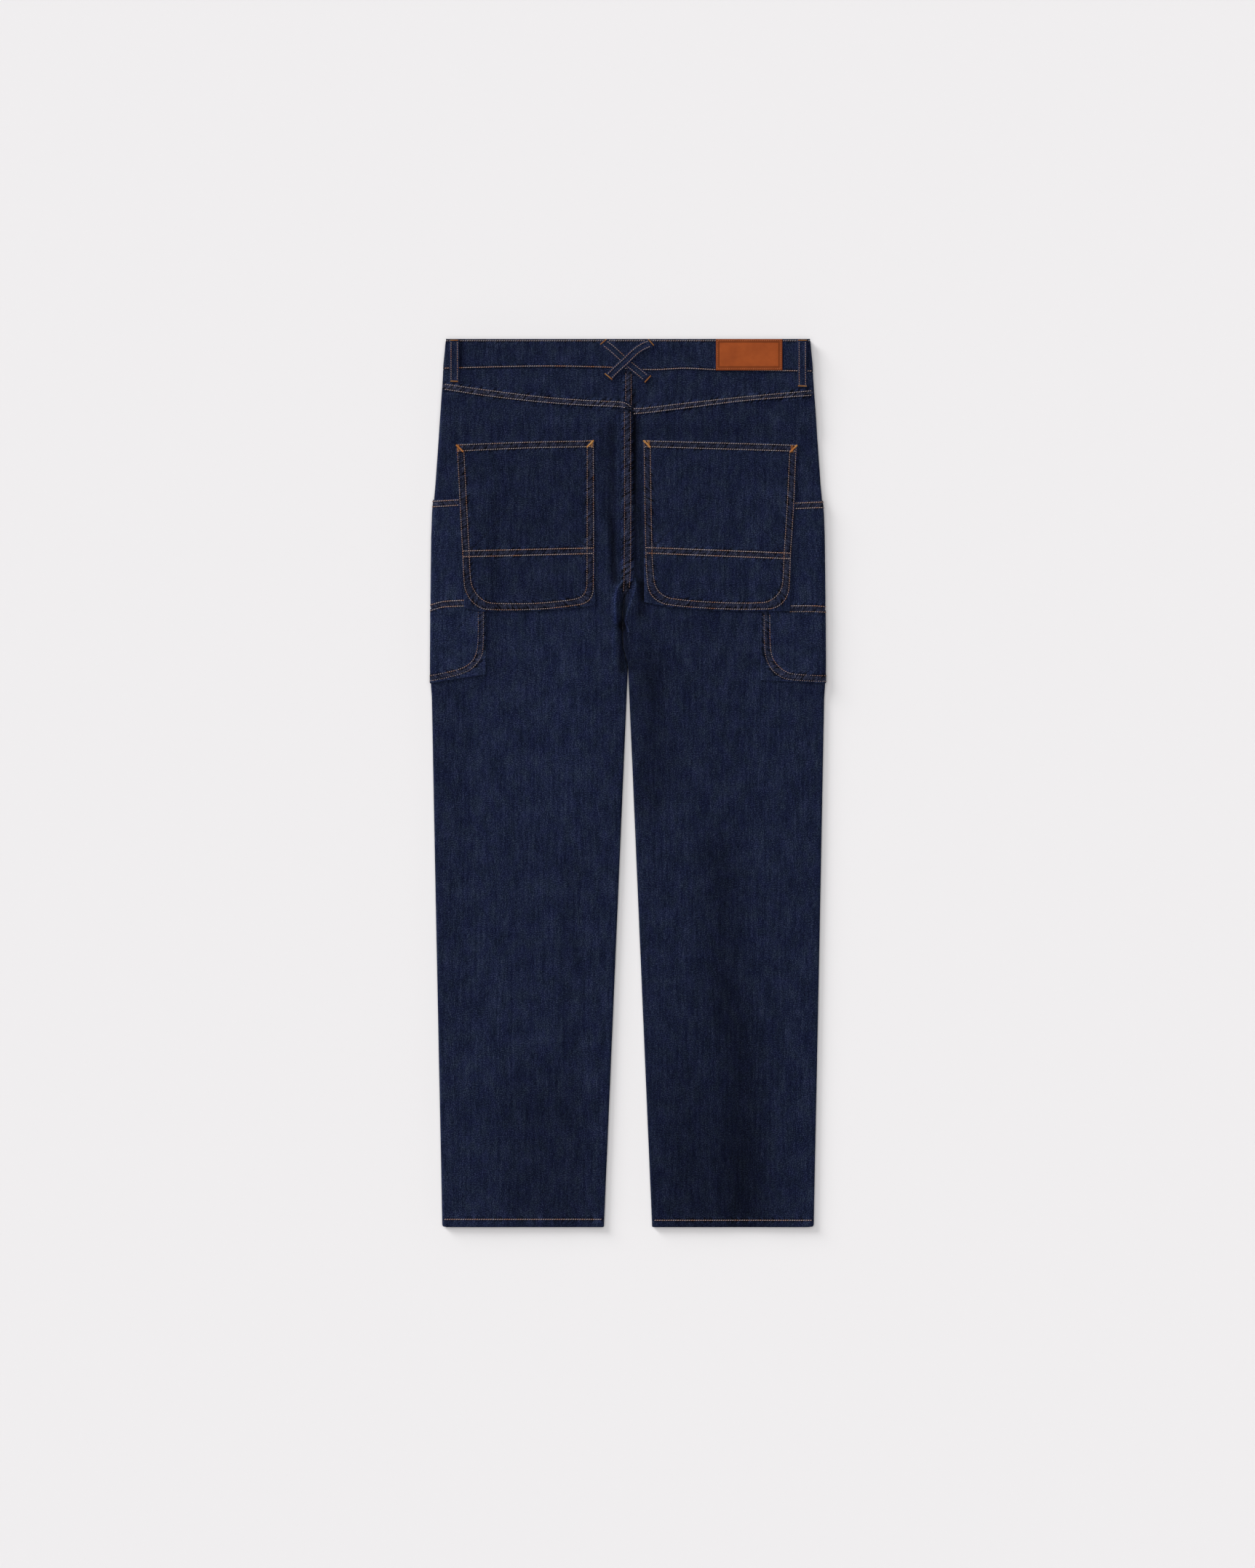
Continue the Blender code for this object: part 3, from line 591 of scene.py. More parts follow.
LEATHER_SCALES = {"mottle": (60.0, 60.0), "grain": (1500.0, 1500.0)}
LEATHER_ROUGHNESS = (0.25, 0.42)
MOTTLE_NOISE = (4.0, 0.6)
METAL_STOPS = ((0.35, (0.16, 0.075, 0.03)), (0.65, (0.46, 0.26, 0.13)))
METAL_SCALE = (420.0, 420.0)
METAL_ROUGHNESS = (-0.3, 0.55)
BUMPS = {"denim": (0.6, 0.3 * MM), "leather": (0.35, 0.12 * MM)}  # strength, distance

# Sockets of Blender's colour mix, which share their names with others
MIX_FIRST, MIX_SECOND, MIX_RESULT = 6, 7, 2

# Floor and light
FLOOR_COLOUR = (0.872, 0.856, 0.864)
FLOOR_HALF = 14.0
BACKDROP_STOPS = ((0.2, FLOOR_COLOUR), (0.3, (0.02, 0.02, 0.02)))
LAMPS = (  # name, strength, spread in degrees, direction that it shines
    ("key", 2.9, 28.0, (1.0, -0.95, -0.50)),
    ("overhead", 1.93, 75.0, (0.05, -0.05, -1.0)),
)

# Camera, and where the garment is in the photo, in its pixels
LENS = 100.0
SENSOR_WIDTH = 36.0
CLIP_END = 100.0
PHOTO_WIDTH = 1725
PHOTO_HEIGHT = 2156
GARMENT_MIDDLE = (863.2, 1076.9)
METRES_PER_PIXEL = LENGTH / 1221.2
PHOTO_CENTRE = (
    (PHOTO_WIDTH / 2 - GARMENT_MIDDLE[0]) * METRES_PER_PIXEL,
    (GARMENT_MIDDLE[1] - PHOTO_HEIGHT / 2) * METRES_PER_PIXEL,
)


# Plain geometry


def along(table, at, column=1, unit=MM):
    """A table's column at a place given in metres, smooth enough for cloth."""
    places = [row[0] for row in table]
    values = [row[column] for row in table]
    return np.interp(np.asarray(at) / MM, places, values) * unit


def smooth(at, start, end):
    """0 before start, 1 after end, and an S-shaped rise between."""
    share = np.clip((at - start) / (end - start), 0.0, 1.0)
    return share * share * (3.0 - 2.0 * share)


def fade(at, start, end):
    """1 before start, 0 after end, and an S-shaped fall between."""
    return 1.0 - smooth(at, start, end)


def bell(distance, half):
    """1 at no distance, falling off as a bell curve."""
    return np.exp(-((distance / half) ** 2))


def quarter_round(distance, radius):
    """0 at an edge, rising as a quarter circle to 1 at the radius."""
    short = 1.0 - np.clip(distance / radius, 0.0, 1.0)
    return np.sqrt(1.0 - short * short)


def folded(from_edge, rim=RIM_SHARE, radius=FOLD_ROUND):
    """The share of its thickness that a piece has, less at its rounded edge."""
    return rim + (1.0 - rim) * quarter_round(from_edge, radius)


def edge_tone(kind, from_edge):
    """The tone that a kind of piece gets along its edge."""
    tone, reach = EDGE_TONES[kind]
    return tone * fade(from_edge, 0.0, reach)


def to_ends(shares):
    """How far each share from 0 to 1 is from the nearer end."""
    return np.minimum(shares, 1.0 - shares)


def place(across, down, height):
    """Points in the frame's own axes, as one array."""
    return np.stack(np.broadcast_arrays(across, TOP - np.asarray(down), height), axis=-1)


def keep_above(points, least=FLOOR_CLEAR):
    """Raises the points that are lower than the least height."""
    points[..., 2] = np.maximum(points[..., 2], least)


def walk(points):
    """How far along a line of points each one is."""
    return np.concatenate([[0.0], np.cumsum(np.linalg.norm(np.diff(points, axis=0), axis=-1))])


def side_name(side):
    return "left" if side < 0 else "right"


def spread(length, step, edged=(True, True)):
    """Shares from 0 to 1 about one step apart, with close steps at the ends that are edged."""
    start = [value * MM for value in EDGE_STEPS] if edged[0] else [0.0]
    end = [length - value * MM for value in reversed(EDGE_STEPS)] if edged[1] else [length]
    count = max(2, round((end[0] - start[-1]) / step))
    middle = np.linspace(start[-1], end[0], count + 1)[1:-1]
    return np.concatenate([start, middle, end]) / length


def nearest(line, across, down):
    """(distance, place along, side offset) of each point from a line of points in millimetres."""
    best = np.full(np.shape(across), FAR_OFF)
    where, offset = np.zeros_like(best), np.zeros_like(best)
    travelled = 0.0
    for (x0, y0), (x1, y1) in zip(line, line[1:]):
        x0, y0, x1, y1 = x0 * MM, y0 * MM, x1 * MM, y1 * MM
        length = math.hypot(x1 - x0, y1 - y0)
        tx, ty = (x1 - x0) / length, (y1 - y0) / length
        share = np.clip((across - x0) * tx + (down - y0) * ty, 0.0, length)
        dx, dy = across - x0 - share * tx, down - y0 - share * ty
        distance = np.hypot(dx, dy)
        closer = distance < best
        best = np.where(closer, distance, best)
        where = np.where(closer, travelled + share, where)
        offset = np.where(closer, dx * ty - dy * tx, offset)
        travelled += length
    return best, where, offset


def row_distance(seams, across, down):
    """Distance of each point from the nearest row of stitches."""
    return np.min([nearest(row, across, down)[0] for rows in seams for row in rows], axis=0)


def side_of(row, other):
    """The side of a row on which another row's middle lies, as 1 or -1."""
    across, down = other[len(other) // 2]
    return np.sign(nearest(row, across * MM, down * MM)[2])


def smooth_line(points, step):
    """Points about one step apart on a curve through the given ones, in metres."""
    given = np.array(points, dtype=float)
    lengths = np.linalg.norm(np.diff(given, axis=0), axis=-1)
    padded = np.concatenate([[2 * given[0] - given[1]], given, [2 * given[-1] - given[-2]]])
    spans = np.concatenate([[lengths[0]], lengths, [lengths[-1]]])
    tangents = (padded[2:] - padded[:-2]) / (spans[1:] + spans[:-1])[:, None]
    made = []
    for index, length in enumerate(lengths):
        count = max(1, round(length / step))
        for share in np.arange(count) / count:
            squared, cubed = share**2, share**3
            made.append(
                (2 * cubed - 3 * squared + 1) * given[index]
                + (cubed - 2 * squared + share) * length * tangents[index]
                + (3 * squared - 2 * cubed) * given[index + 1]
                + (cubed - squared) * length * tangents[index + 1]
            )
    return np.array([*made, given[-1]])


def curve(line, step=ROW_STEP):
    """(across, down) of close points on a curve through a line of points in millimetres."""
    return smooth_line(np.array(line) * MM, step).T


# Folds and seams


def ripple(position, offset, seed):
    """The uneven pull of a seam: slanted waves along it, from -1 to 1."""
    total = 0.0
    for index, wave in enumerate(PUCKER_WAVES):
        phase = PUCKER_PHASE * (seed + 1) * (index + PUCKER_OFFSET)
        total = total + np.sin(2 * math.pi * (position + PUCKER_SLANT * offset) / wave + phase)
    return total / len(PUCKER_WAVES)


def relief(folds, puckers, across, down):
    """(height, tone) that a set of folds and puckers adds at each point. The folds' tone is painted shade in
    hollows and painted highlight on ridges; the puckers' tone lightens along the seam, with painted
    highlight on their crests and painted shade in their troughs.
    """
    height = np.zeros(np.broadcast(across, down).shape)
    tone = np.zeros_like(height)
    for line, half, rise, shade in folds:
        distance, _, _ = nearest(line, across, down)
        share = np.cos(np.clip(distance / (half * MM), 0.0, 1.0) * math.pi / 2) ** 2
        height += rise * MM * share
        tone += shade * share
    for seed, (line, reach, rise, shade) in enumerate(puckers):
        distance, position, offset = nearest(line, across, down)
        share = bell(distance, reach * MM)
        wave = ripple(position, offset, seed)
        height += rise * MM * share * wave
        tone += shade * share * (PUCKER_TONE_LEVEL + wave)
    return height, tone


def seam_field(seams, strength, across, down):
    """What the denim's material draws a seam from, at each point, in millimetres.

    `seam` is ROW_APART on a row of stitches, less between two rows and more outside them, and
    below zero on the first row's side. `run` is the place along the seam, and `rope` how
    strongly it puckers.
    """
    shape = np.broadcast(across, down).shape
    closest, seam = np.full(shape, FAR_OFF), np.full(shape, FAR_OFF)
    run, rope = np.zeros(shape), np.zeros(shape)
    for rows in seams:
        distance, position, offset = nearest(rows[0], across, down)
        off_row, outward, side, share = distance, 1.0, 1.0, strength * SINGLE_ROW_SHARE
        if len(rows) == 2:
            other, _, other_offset = nearest(rows[1], across, down)
            within = offset * side_of(*rows) > 0
            between = within & (other_offset * side_of(rows[1], rows[0]) > 0)
            off_row, outward = np.minimum(distance, other), np.where(between, -1.0, 1.0)
            side, share = np.where(distance < other, -1.0, 1.0), strength
        closer = off_row < closest
        closest = np.where(closer, off_row, closest)
        seam = np.where(closer, side * np.maximum(ROW_APART + outward * off_row / MM, 0.0), seam)
        run = np.where(closer, position / MM, run)
        rope = np.maximum(rope, share * fade(off_row, *ROPE_ENDS))
    return {"seam": seam, "run": run, "rope": rope}


def thread_room(seams, across, down):
    """How far the cloth's underside draws back from the floor at its rows of stitches."""
    return THREAD_ROOM * fade(row_distance(seams, across, down), *ROOM_ENDS)


def yoke_hollow_shade(seam, across, down):
    """Painted shade beside the yoke's twin rows, where the cloth dips."""
    beside = bell(np.abs(seam) - ROW_APART - HOLLOW_OUT, HOLLOW_HALF)
    return HOLLOW_PAINTED_SHADE * beside * fade(row_distance(BACK_SEAMS[:2], across, down), *HOLLOW_ENDS)


# The laid body


def half_width(down):
    """Half width of the body, with its rounded corners at the waist and the hems."""
    from_end = np.clip(np.minimum(down, LENGTH - down), 0.0, CORNER)
    return along(OUTLINE, down) - CORNER + np.sqrt(CORNER**2 - (CORNER - from_end) ** 2)


def leg_gap(down):
    """Half the gap between the legs."""
    return LEG_SPREAD * np.maximum(0.0, down - CROTCH_DOWN)


def leg_cloth(down):
    """Thickness of a leg's cloth, which is folded at the hem."""
    return CLOTH + (HEM_CLOTH - CLOTH) * smooth(down, *HEM_CLOTH_ENDS)


def pocket_zone(side, inward, down):
    """1 over a side pocket, falling to 0 around it."""
    reach = SIDE_POCKET[side_name(side)]["reach"] * MM
    over = fade(inward, reach + RAMP_IN[0], reach + RAMP_IN[1])
    return over * smooth(down, *RAMP_TOP) * fade(down, *RAMP_BOTTOM)


def lift(side, inward, down):
    """Height of the body's underside, which lies on the front belt loops and the side pockets."""
    return WAIST_LIFT * fade(down, *WAIST_RAMP) + POCKET_STAND * pocket_zone(side, inward, down)


def back_face(side, across, down):
    """(height, tone) of the back's outer face away from its edges."""
    rise, tone = relief(BACK_FOLDS, PUCKERS, across, down)
    inward = half_width(down) - side * across
    hem = HEM_RISE * smooth(down, *HEM_RISE_ENDS)
    calm = 1.0 - 0.5 * smooth(down, CALM_FROM, LENGTH)
    return lift(side, inward, down) + LAID + rise * calm + hem, tone


def centre_lap(from_seam, down):
    """1 on the lap along the back's centre seam, falling to 0 beyond it and in the crotch."""
    return fade(from_seam, *LAP_ENDS["centre"]) * (1.0 - along(BACK_CENTRE, down, TURN, 1.0))


def yoke_lap(from_edge):
    """1 on the lap along the yoke's lower edge, falling to 0 above it."""
    return fade(from_edge, *LAP_ENDS["yoke"])


def front_band_top(across):
    """The front of the waist dips below the back's straight top edge."""
    return FRONT_DIP * np.maximum(0.0, 1.0 - (across / BAND_HALF) ** 2)


def band_depth(across):
    """How deep the front waistband is, so that it meets the back one at each side."""
    return along([BAND_EDGE[0], BAND_EDGE[-1]], across)


def wrap(side, inward, down, stand):
    """(points, outward directions) round a side's fold. Inward is below zero on the front."""
    radius = EDGE_ROLL + stand
    bend = np.clip(inward / radius, -math.pi / 2, math.pi / 2)
    flat = np.maximum(0.0, np.abs(inward) - radius * math.pi / 2)
    across = half_width(down) + stand - radius * (1.0 - np.cos(bend)) - flat
    middle = POCKET_STAND + LAID / 2
    points = place(side * across, down, middle + radius * np.sin(bend))
    outward = np.stack(np.broadcast_arrays(side * np.cos(bend), 0.0 * bend, np.sin(bend)), axis=-1)
    return points, outward


# Materials


class Graph:
    """Makes the nodes of a material or a world. An input is a value or another node's socket."""

    def __init__(self, tree):
        self.nodes = tree.nodes
        self.links = tree.links

    def feed(self, made, inputs):
        """Sets or links a node's inputs, given by name or number."""
        for key, value in inputs.items():
            if isinstance(value, bpy.types.NodeSocket):
                self.links.new(value, made.inputs[key])
            else:
                made.inputs[key].default_value = value

    def node(self, kind, inputs, **settings):
        made = self.nodes.new(kind)
        for key, value in settings.items():
            setattr(made, key, value)
        self.feed(made, inputs)
        return made.outputs

    def maths(self, operation, *values):
        return self.node("ShaderNodeMath", dict(enumerate(values)), operation=operation)["Value"]

    def attribute(self, name):
        return self.node("ShaderNodeAttribute", {}, attribute_name=name)["Fac"]

    def cloth(self, across, down):
        """The cloth's own place in metres, times a scale in each direction."""
        flat = self.node("ShaderNodeUVMap", {}, uv_map="Cloth")["UV"]
        return self.node("ShaderNodeMapping", {"Vector": flat, "Scale": (across, down, 1.0)})["Vector"]

    def noise(self, vector, detail=2.0, roughness=0.5):
        """Noise with features of 1 unit."""
        inputs = {"Vector": vector, "Scale": 1.0, "Detail": detail, "Roughness": roughness}
        return self.node("ShaderNodeTexNoise", inputs)["Fac"]

    def ramp(self, factor, stops):
        """A colour from a ramp through stops, each a place and a colour."""
        made = self.nodes.new("ShaderNodeValToRGB")
        elements = made.color_ramp.elements
        while len(elements) < len(stops):
            elements.new(0.5)
        for element, (position, colour) in zip(elements, stops):
            element.position = position
            element.color = (*colour, 1.0)
        self.feed(made, {"Fac": factor})
        return made.outputs["Color"]

    def blend(self, factor, first, second):
        """A colour between two others, which are colours or sockets."""
        both = [(*colour, 1.0) if isinstance(colour, tuple) else colour for colour in (first, second)]
        inputs = {"Factor": factor, MIX_FIRST: both[0], MIX_SECOND: both[1]}
        return self.node("ShaderNodeMix", inputs, data_type="RGBA")[MIX_RESULT]

    def dim(self, colour, gain):
        """A colour times a number."""
        return self.node("ShaderNodeVectorMath", {0: colour, "Scale": gain}, operation="SCALE")["Vector"]

    def bump(self, height, strength, distance):
        inputs = {"Height": height, "Strength": strength, "Distance": distance}
        return self.node("ShaderNodeBump", inputs)["Normal"]


def new_material(name):
    """(material, its graph, its shader)"""
    material = bpy.data.materials.new(name)
    material.use_nodes = True
    graph = Graph(material.node_tree)
    return material, graph, graph.nodes["Principled BSDF"]


def seam_shade(graph):
    """(how much lighter the dye is on a seam, from the painted shade along its rows and its roping, which is
    partly wear and partly painted light and shade of puckers; how near a row it is; how far between two rows
    it lies)
    """
    seam, run, rope = (graph.attribute(name) for name in ("seam", "run", "rope"))
    slanted = graph.maths("MULTIPLY_ADD", seam, ROPE_SLANT, run)
    spot = {
        "X": graph.maths("MULTIPLY", slanted, ROPE_SCALE[0]),
        "Y": graph.maths("MULTIPLY", seam, ROPE_SCALE[1]),
    }
    bars = graph.noise(graph.node("ShaderNodeCombineXYZ", spot)["Vector"])
    height = graph.maths("SUBTRACT", bars, ROPE_LEVEL)
    off_row = graph.maths("SUBTRACT", graph.maths("ABSOLUTE", seam), ROW_APART)
    inside = graph.maths("MAXIMUM", graph.maths("MULTIPLY", off_row, -1.0), 0.0)
    near = graph.maths("MINIMUM", graph.maths("MULTIPLY", rope, LAP_NEAR), 1.0)
    lap = graph.maths("MULTIPLY", graph.maths("MINIMUM", inside, 1.0), near)
    steepness = graph.maths(
        "MULTIPLY_ADD", lap, ROPE_STEEPNESS["more on a lap"], ROPE_STEEPNESS["everywhere"]
    )
    # Roping: partly wear, partly painted light and shade of puckers that the cloth's shape doesn't have
    roping = graph.maths("MULTIPLY", graph.maths("MULTIPLY", height, steepness), rope)
    # Painted shade along each row of stitches, falling off across the row; the same mask dents the bump
    widths = graph.maths("MULTIPLY", off_row, 1.0 / PRESS_HALF)
    squared = graph.maths("MULTIPLY", graph.maths("MULTIPLY", widths, widths), -1.0)
    row_groove = graph.maths("EXPONENT", squared)
    return graph.maths("MULTIPLY_ADD", row_groove, -ROW_PAINTED_SHADE, roping), row_groove, lap


def denim_material():
    """Raw indigo twill: slubs down the warp, twill lines, flecks of pale weft, and roping seams, with
    painted shade and highlight from the tone and the seams scaling the dye.
    """
    material, graph, shader = new_material("denim")
    twill = graph.node(
        "ShaderNodeTexWave",
        {"Vector": graph.cloth(*TWILL_SCALE), "Scale": 1.0, "Distortion": 1.2, "Detail Scale": 3.0},
        wave_type="BANDS",
        bands_direction="DIAGONAL",
        wave_profile="SIN",
    )["Fac"]
    layers = [
        (graph.noise(graph.cloth(*scale), detail, roughness), weight)
        for scale, detail, roughness, weight in WEAVE
    ]
    layers.append((twill, TWILL_WEIGHT))
    weave = 0.5 - sum(weight for _, weight in layers) / 2
    for layer, weight in layers:
        weave = graph.maths("MULTIPLY_ADD", layer, weight, weave)
    stops = [
        (position, [value * gain for value, gain in zip(INDIGO, gains)]) for position, gains in DYE_STOPS
    ]
    shade, row_groove, lap = seam_shade(graph)
    # Painted shade and highlight: the tone and the seam's painted shade scale the dye
    gain = graph.maths("ADD", graph.maths("ADD", graph.attribute("tone"), shade), 1.0)
    patches = graph.maths("MULTIPLY_ADD", graph.noise(graph.cloth(*HUE_SCALE)), *HUE_CONTRAST)
    hue = graph.blend(lap, graph.blend(patches, *HUE_SHIFTS), LAP_HUE)
    tinted = {0: graph.ramp(weave, stops), 1: hue}
    colour = graph.node("ShaderNodeVectorMath", tinted, operation="MULTIPLY")["Vector"]
    dented = graph.maths("MULTIPLY_ADD", row_groove, -PRESS_DEEP, weave)
    graph.feed(shader, {
        "Base Color": graph.dim(colour, graph.maths("MAXIMUM", gain, DARKEST)),
        "Normal": graph.bump(dented, *BUMPS["denim"]),
        "Roughness": 0.95,
        "Specular IOR Level": 0.04,
        "Sheen Weight": 0.03,
        "Sheen Roughness": 0.5,
        "Sheen Tint": SHEEN_TINT,
    })
    return material


def thread_material(name):
    """Matt twisted thread: pale and rusty stretches, with a painted highlight on each stitch's middle and
    painted shade where it dips into the cloth.
    """
    pale, rust, dip = THREADS[name]
    material, graph, shader = new_material(name)
    ply = graph.noise(graph.cloth(*THREAD_SCALES["ply"]))
    drift = graph.noise(graph.cloth(*THREAD_SCALES["drift"]), *DRIFT_NOISE)
    stretch = graph.maths("MULTIPLY_ADD", drift, *THREAD_CONTRASTS["drift"])
    highlight = graph.blend(graph.maths("ADD", stretch, graph.attribute("grey")), rust, pale)
    uneven = graph.maths("MULTIPLY_ADD", ply, *THREAD_CONTRASTS["ply"])
    # Painted shade at the stitch's dipping ends, painted highlight on its middle, set by the rings' tone
    colour = graph.blend(graph.maths("ADD", graph.attribute("tone"), uneven), dip, highlight)
    graph.feed(shader, {"Base Color": colour, "Roughness": 0.75, "Specular IOR Level": 0.15})
    return material


def leather_material():
    """Tan leather with a fine grain, darker in its pressed lines and at its cut edge."""
    material, graph, shader = new_material("leather")
    mottle = graph.noise(graph.cloth(*LEATHER_SCALES["mottle"]), *MOTTLE_NOISE)
    gain = graph.maths("ADD", graph.attribute("tone"), 1.0)
    grain = {"Vector": graph.cloth(*LEATHER_SCALES["grain"]), "Scale": 1.0}
    cells = graph.node("ShaderNodeTexVoronoi", grain)["Distance"]
    graph.feed(shader, {
        "Base Color": graph.dim(graph.ramp(mottle, LEATHER_STOPS), gain),
        "Roughness": graph.maths("MULTIPLY_ADD", mottle, *LEATHER_ROUGHNESS),
        "Normal": graph.bump(cells, *BUMPS["leather"]),
        "Specular IOR Level": 0.10,
    })
    return material


def metal_material():
    """Antique copper-coloured button metal, brighter where it is rubbed."""
    material, graph, shader = new_material("metal")
    patina = graph.noise(graph.cloth(*METAL_SCALE), *MOTTLE_NOISE)
    graph.feed(shader, {
        "Base Color": graph.ramp(patina, METAL_STOPS),
        "Roughness": graph.maths("MULTIPLY_ADD", patina, *METAL_ROUGHNESS),
        "Metallic": 1.0,
    })
    return material


# Meshes


def finish_piece(name, vertices, faces, cloth, shades, material, sharp=None, slot=None, replaced=None):
    """A mesh object with its cloth coordinates and named shades, riding on the garment."""
    mesh = bpy.data.meshes.new(name)
    mesh.from_pydata(vertices.tolist(), [], faces)
    corners = np.empty(len(mesh.loops), dtype=np.int32)
    mesh.loops.foreach_get("vertex_index", corners)
    layer = mesh.uv_layers.new(name="Cloth")
    layer.data.foreach_set("uv", cloth[corners].astype(np.float32).ravel())
    for shade, values in shades.items():
        made = mesh.attributes.new(shade, "FLOAT", "POINT")
        made.data.foreach_set("value", np.array(values, dtype=np.float32))
    mesh.materials.append(material)
    mesh.shade_smooth()
    if sharp:
        mesh.set_sharp_from_angle(angle=math.radians(sharp))
    piece = bpy.data.objects.new(name, mesh)
    bpy.context.scene.collection.objects.link(piece)
    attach(piece, "root")
    if slot:
        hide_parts(replaced)
    return piece


def shell(node_name, grids, cloth, shades, material, slot="denim"):
    """A closed piece between an outer and an inner grid."""
    outer, inner = grids
    rows, columns = outer.shape[:2]
    index = np.arange(rows * columns).reshape(rows, columns)
    corners = [index[:-1, :-1], index[1:, :-1], index[1:, 1:], index[:-1, 1:]]
    quads = np.stack(corners, axis=-1).reshape(-1, 4)
    rim = np.concatenate([index[0, :-1], index[:-1, -1], index[-1, :0:-1], index[:0:-1, 0]])
    after = np.roll(rim, -1)
    under = rows * columns
    sides = np.stack([rim, after, after + under, rim + under], axis=-1)
    faces = np.concatenate([quads, quads[:, ::-1] + under, sides])
    mid_row, mid_column = rows // 2, columns // 2
    here = outer[mid_row, mid_column]
    over = np.cross(outer[mid_row + 1, mid_column] - here, outer[mid_row, mid_column + 1] - here)
    if np.dot(over, here - inner[mid_row, mid_column]) < 0:
        faces = faces[:, ::-1]
    vertices = np.concatenate([outer.reshape(-1, 3), inner.reshape(-1, 3)])
    flat = np.concatenate([cloth.reshape(-1, 2)] * 2)
    both = {shade: np.concatenate([values.ravel()] * 2) for shade, values in shades.items()}
    name = node_name.replace("belt_", "").replace("leather_", "") + "_piece"
    piece = finish_piece(name, vertices, faces.tolist(), flat, both, material, SHARP_CLOTH, slot, node_name)


def wall(outer, upward, from_edge, thickness):
    """(outer, inner) grids of a wall whose edges are rounded as folds."""
    direction = np.cross(np.gradient(outer, axis=1), np.gradient(outer, axis=0))
    direction /= np.linalg.norm(direction, axis=-1, keepdims=True)
    middle = direction[direction.shape[0] // 2, direction.shape[1] // 2, 2]
    if (middle > 0) != upward:
        direction = -direction
    given = (thickness * (1.0 - folded(from_edge)) / 2)[..., None]
    return outer - direction * given, outer - direction * (np.asarray(thickness)[..., None] - given)


def cloth_at(across, down, shift=0.0):
    """The cloth's own coordinates at each point, shifted by a piece's own distance."""
    return np.stack(np.broadcast_arrays(across + shift, down), axis=-1)


# Cloth pieces


def leg_grid(side, centre, top, bottom, shares, rows_below, columns):
    """(across, down, rise, inward, distance from the centre seam) of a leg's or yoke's grid."""
    by_seam, beyond = columns
    strip = np.linspace(0.0, SEAM_STRIP, by_seam, endpoint=False)
    parts = (INNER_SHARES, [*strip, *np.linspace(SEAM_STRIP, 1.0, beyond)], ROLL_SHARES[::-1])
    kinds = np.repeat(range(3), [len(part) for part in parts])[None, :]
    rolled_in, laid_flat = kinds == 0, kinds == 1
    values = np.concatenate(parts)[None, :]
    down = np.full((len(shares) + len(rows_below), values.size), LEVEL_FROM / 2)
    for _ in range(GRID_PASSES["leg"]):
        roll = along(centre, down, LEFT_ROLL if side < 0 else RIGHT_ROLL)
        turn = along(centre, down, TURN, 1.0)
        inner = side * along(centre, down) + SEAM_GAP / 4 + leg_gap(down)
        outer = half_width(down)
        flat = inner + roll + values * (outer - EDGE_ROLL - inner - roll)
        reach = np.where(
            rolled_in, inner + roll * values, np.where(laid_flat, flat, outer - EDGE_ROLL * values)
        )
        across = side * reach
        upper, lower = across[: len(shares)], across[len(shares) :]
        blended = top(upper) + shares[:, None] * (bottom(upper) - top(upper))
        down = np.concatenate([blended, rows_below[:, None] + 0.0 * lower])
    round_share = quarter_round(values, 1.0)
    rise = np.where(rolled_in, 1.0 - turn * (1.0 - round_share), np.where(laid_flat, 1.0, round_share))
    return across, down, rise, outer - reach, reach - inner


def rows_for_leg(seat, crotch, leg):
    """Rows below the blended ones, with a step for each stretch of the leg, and close rows at the hem."""
    stretches = (
        (LEVEL_FROM + seat, CROTCH_ROWS[0], seat),
        (*CROTCH_ROWS, crotch),
        (CROTCH_ROWS[1], LEG_ROWS_FROM, seat),
        (LEG_ROWS_FROM, HEM_TOP - HEM_ROWS, leg),
        (HEM_TOP - HEM_ROWS, LENGTH - HEM_ROWS, FINE),
    )
    end = LENGTH - np.array(EDGE_STEPS[::-1]) * MM
    return np.concatenate([*(np.arange(*stretch) for stretch in stretches), end])


def level_line(across):
    """Where a leg's slanted top rows have turned level."""
    return LEVEL_FROM + 0.0 * across


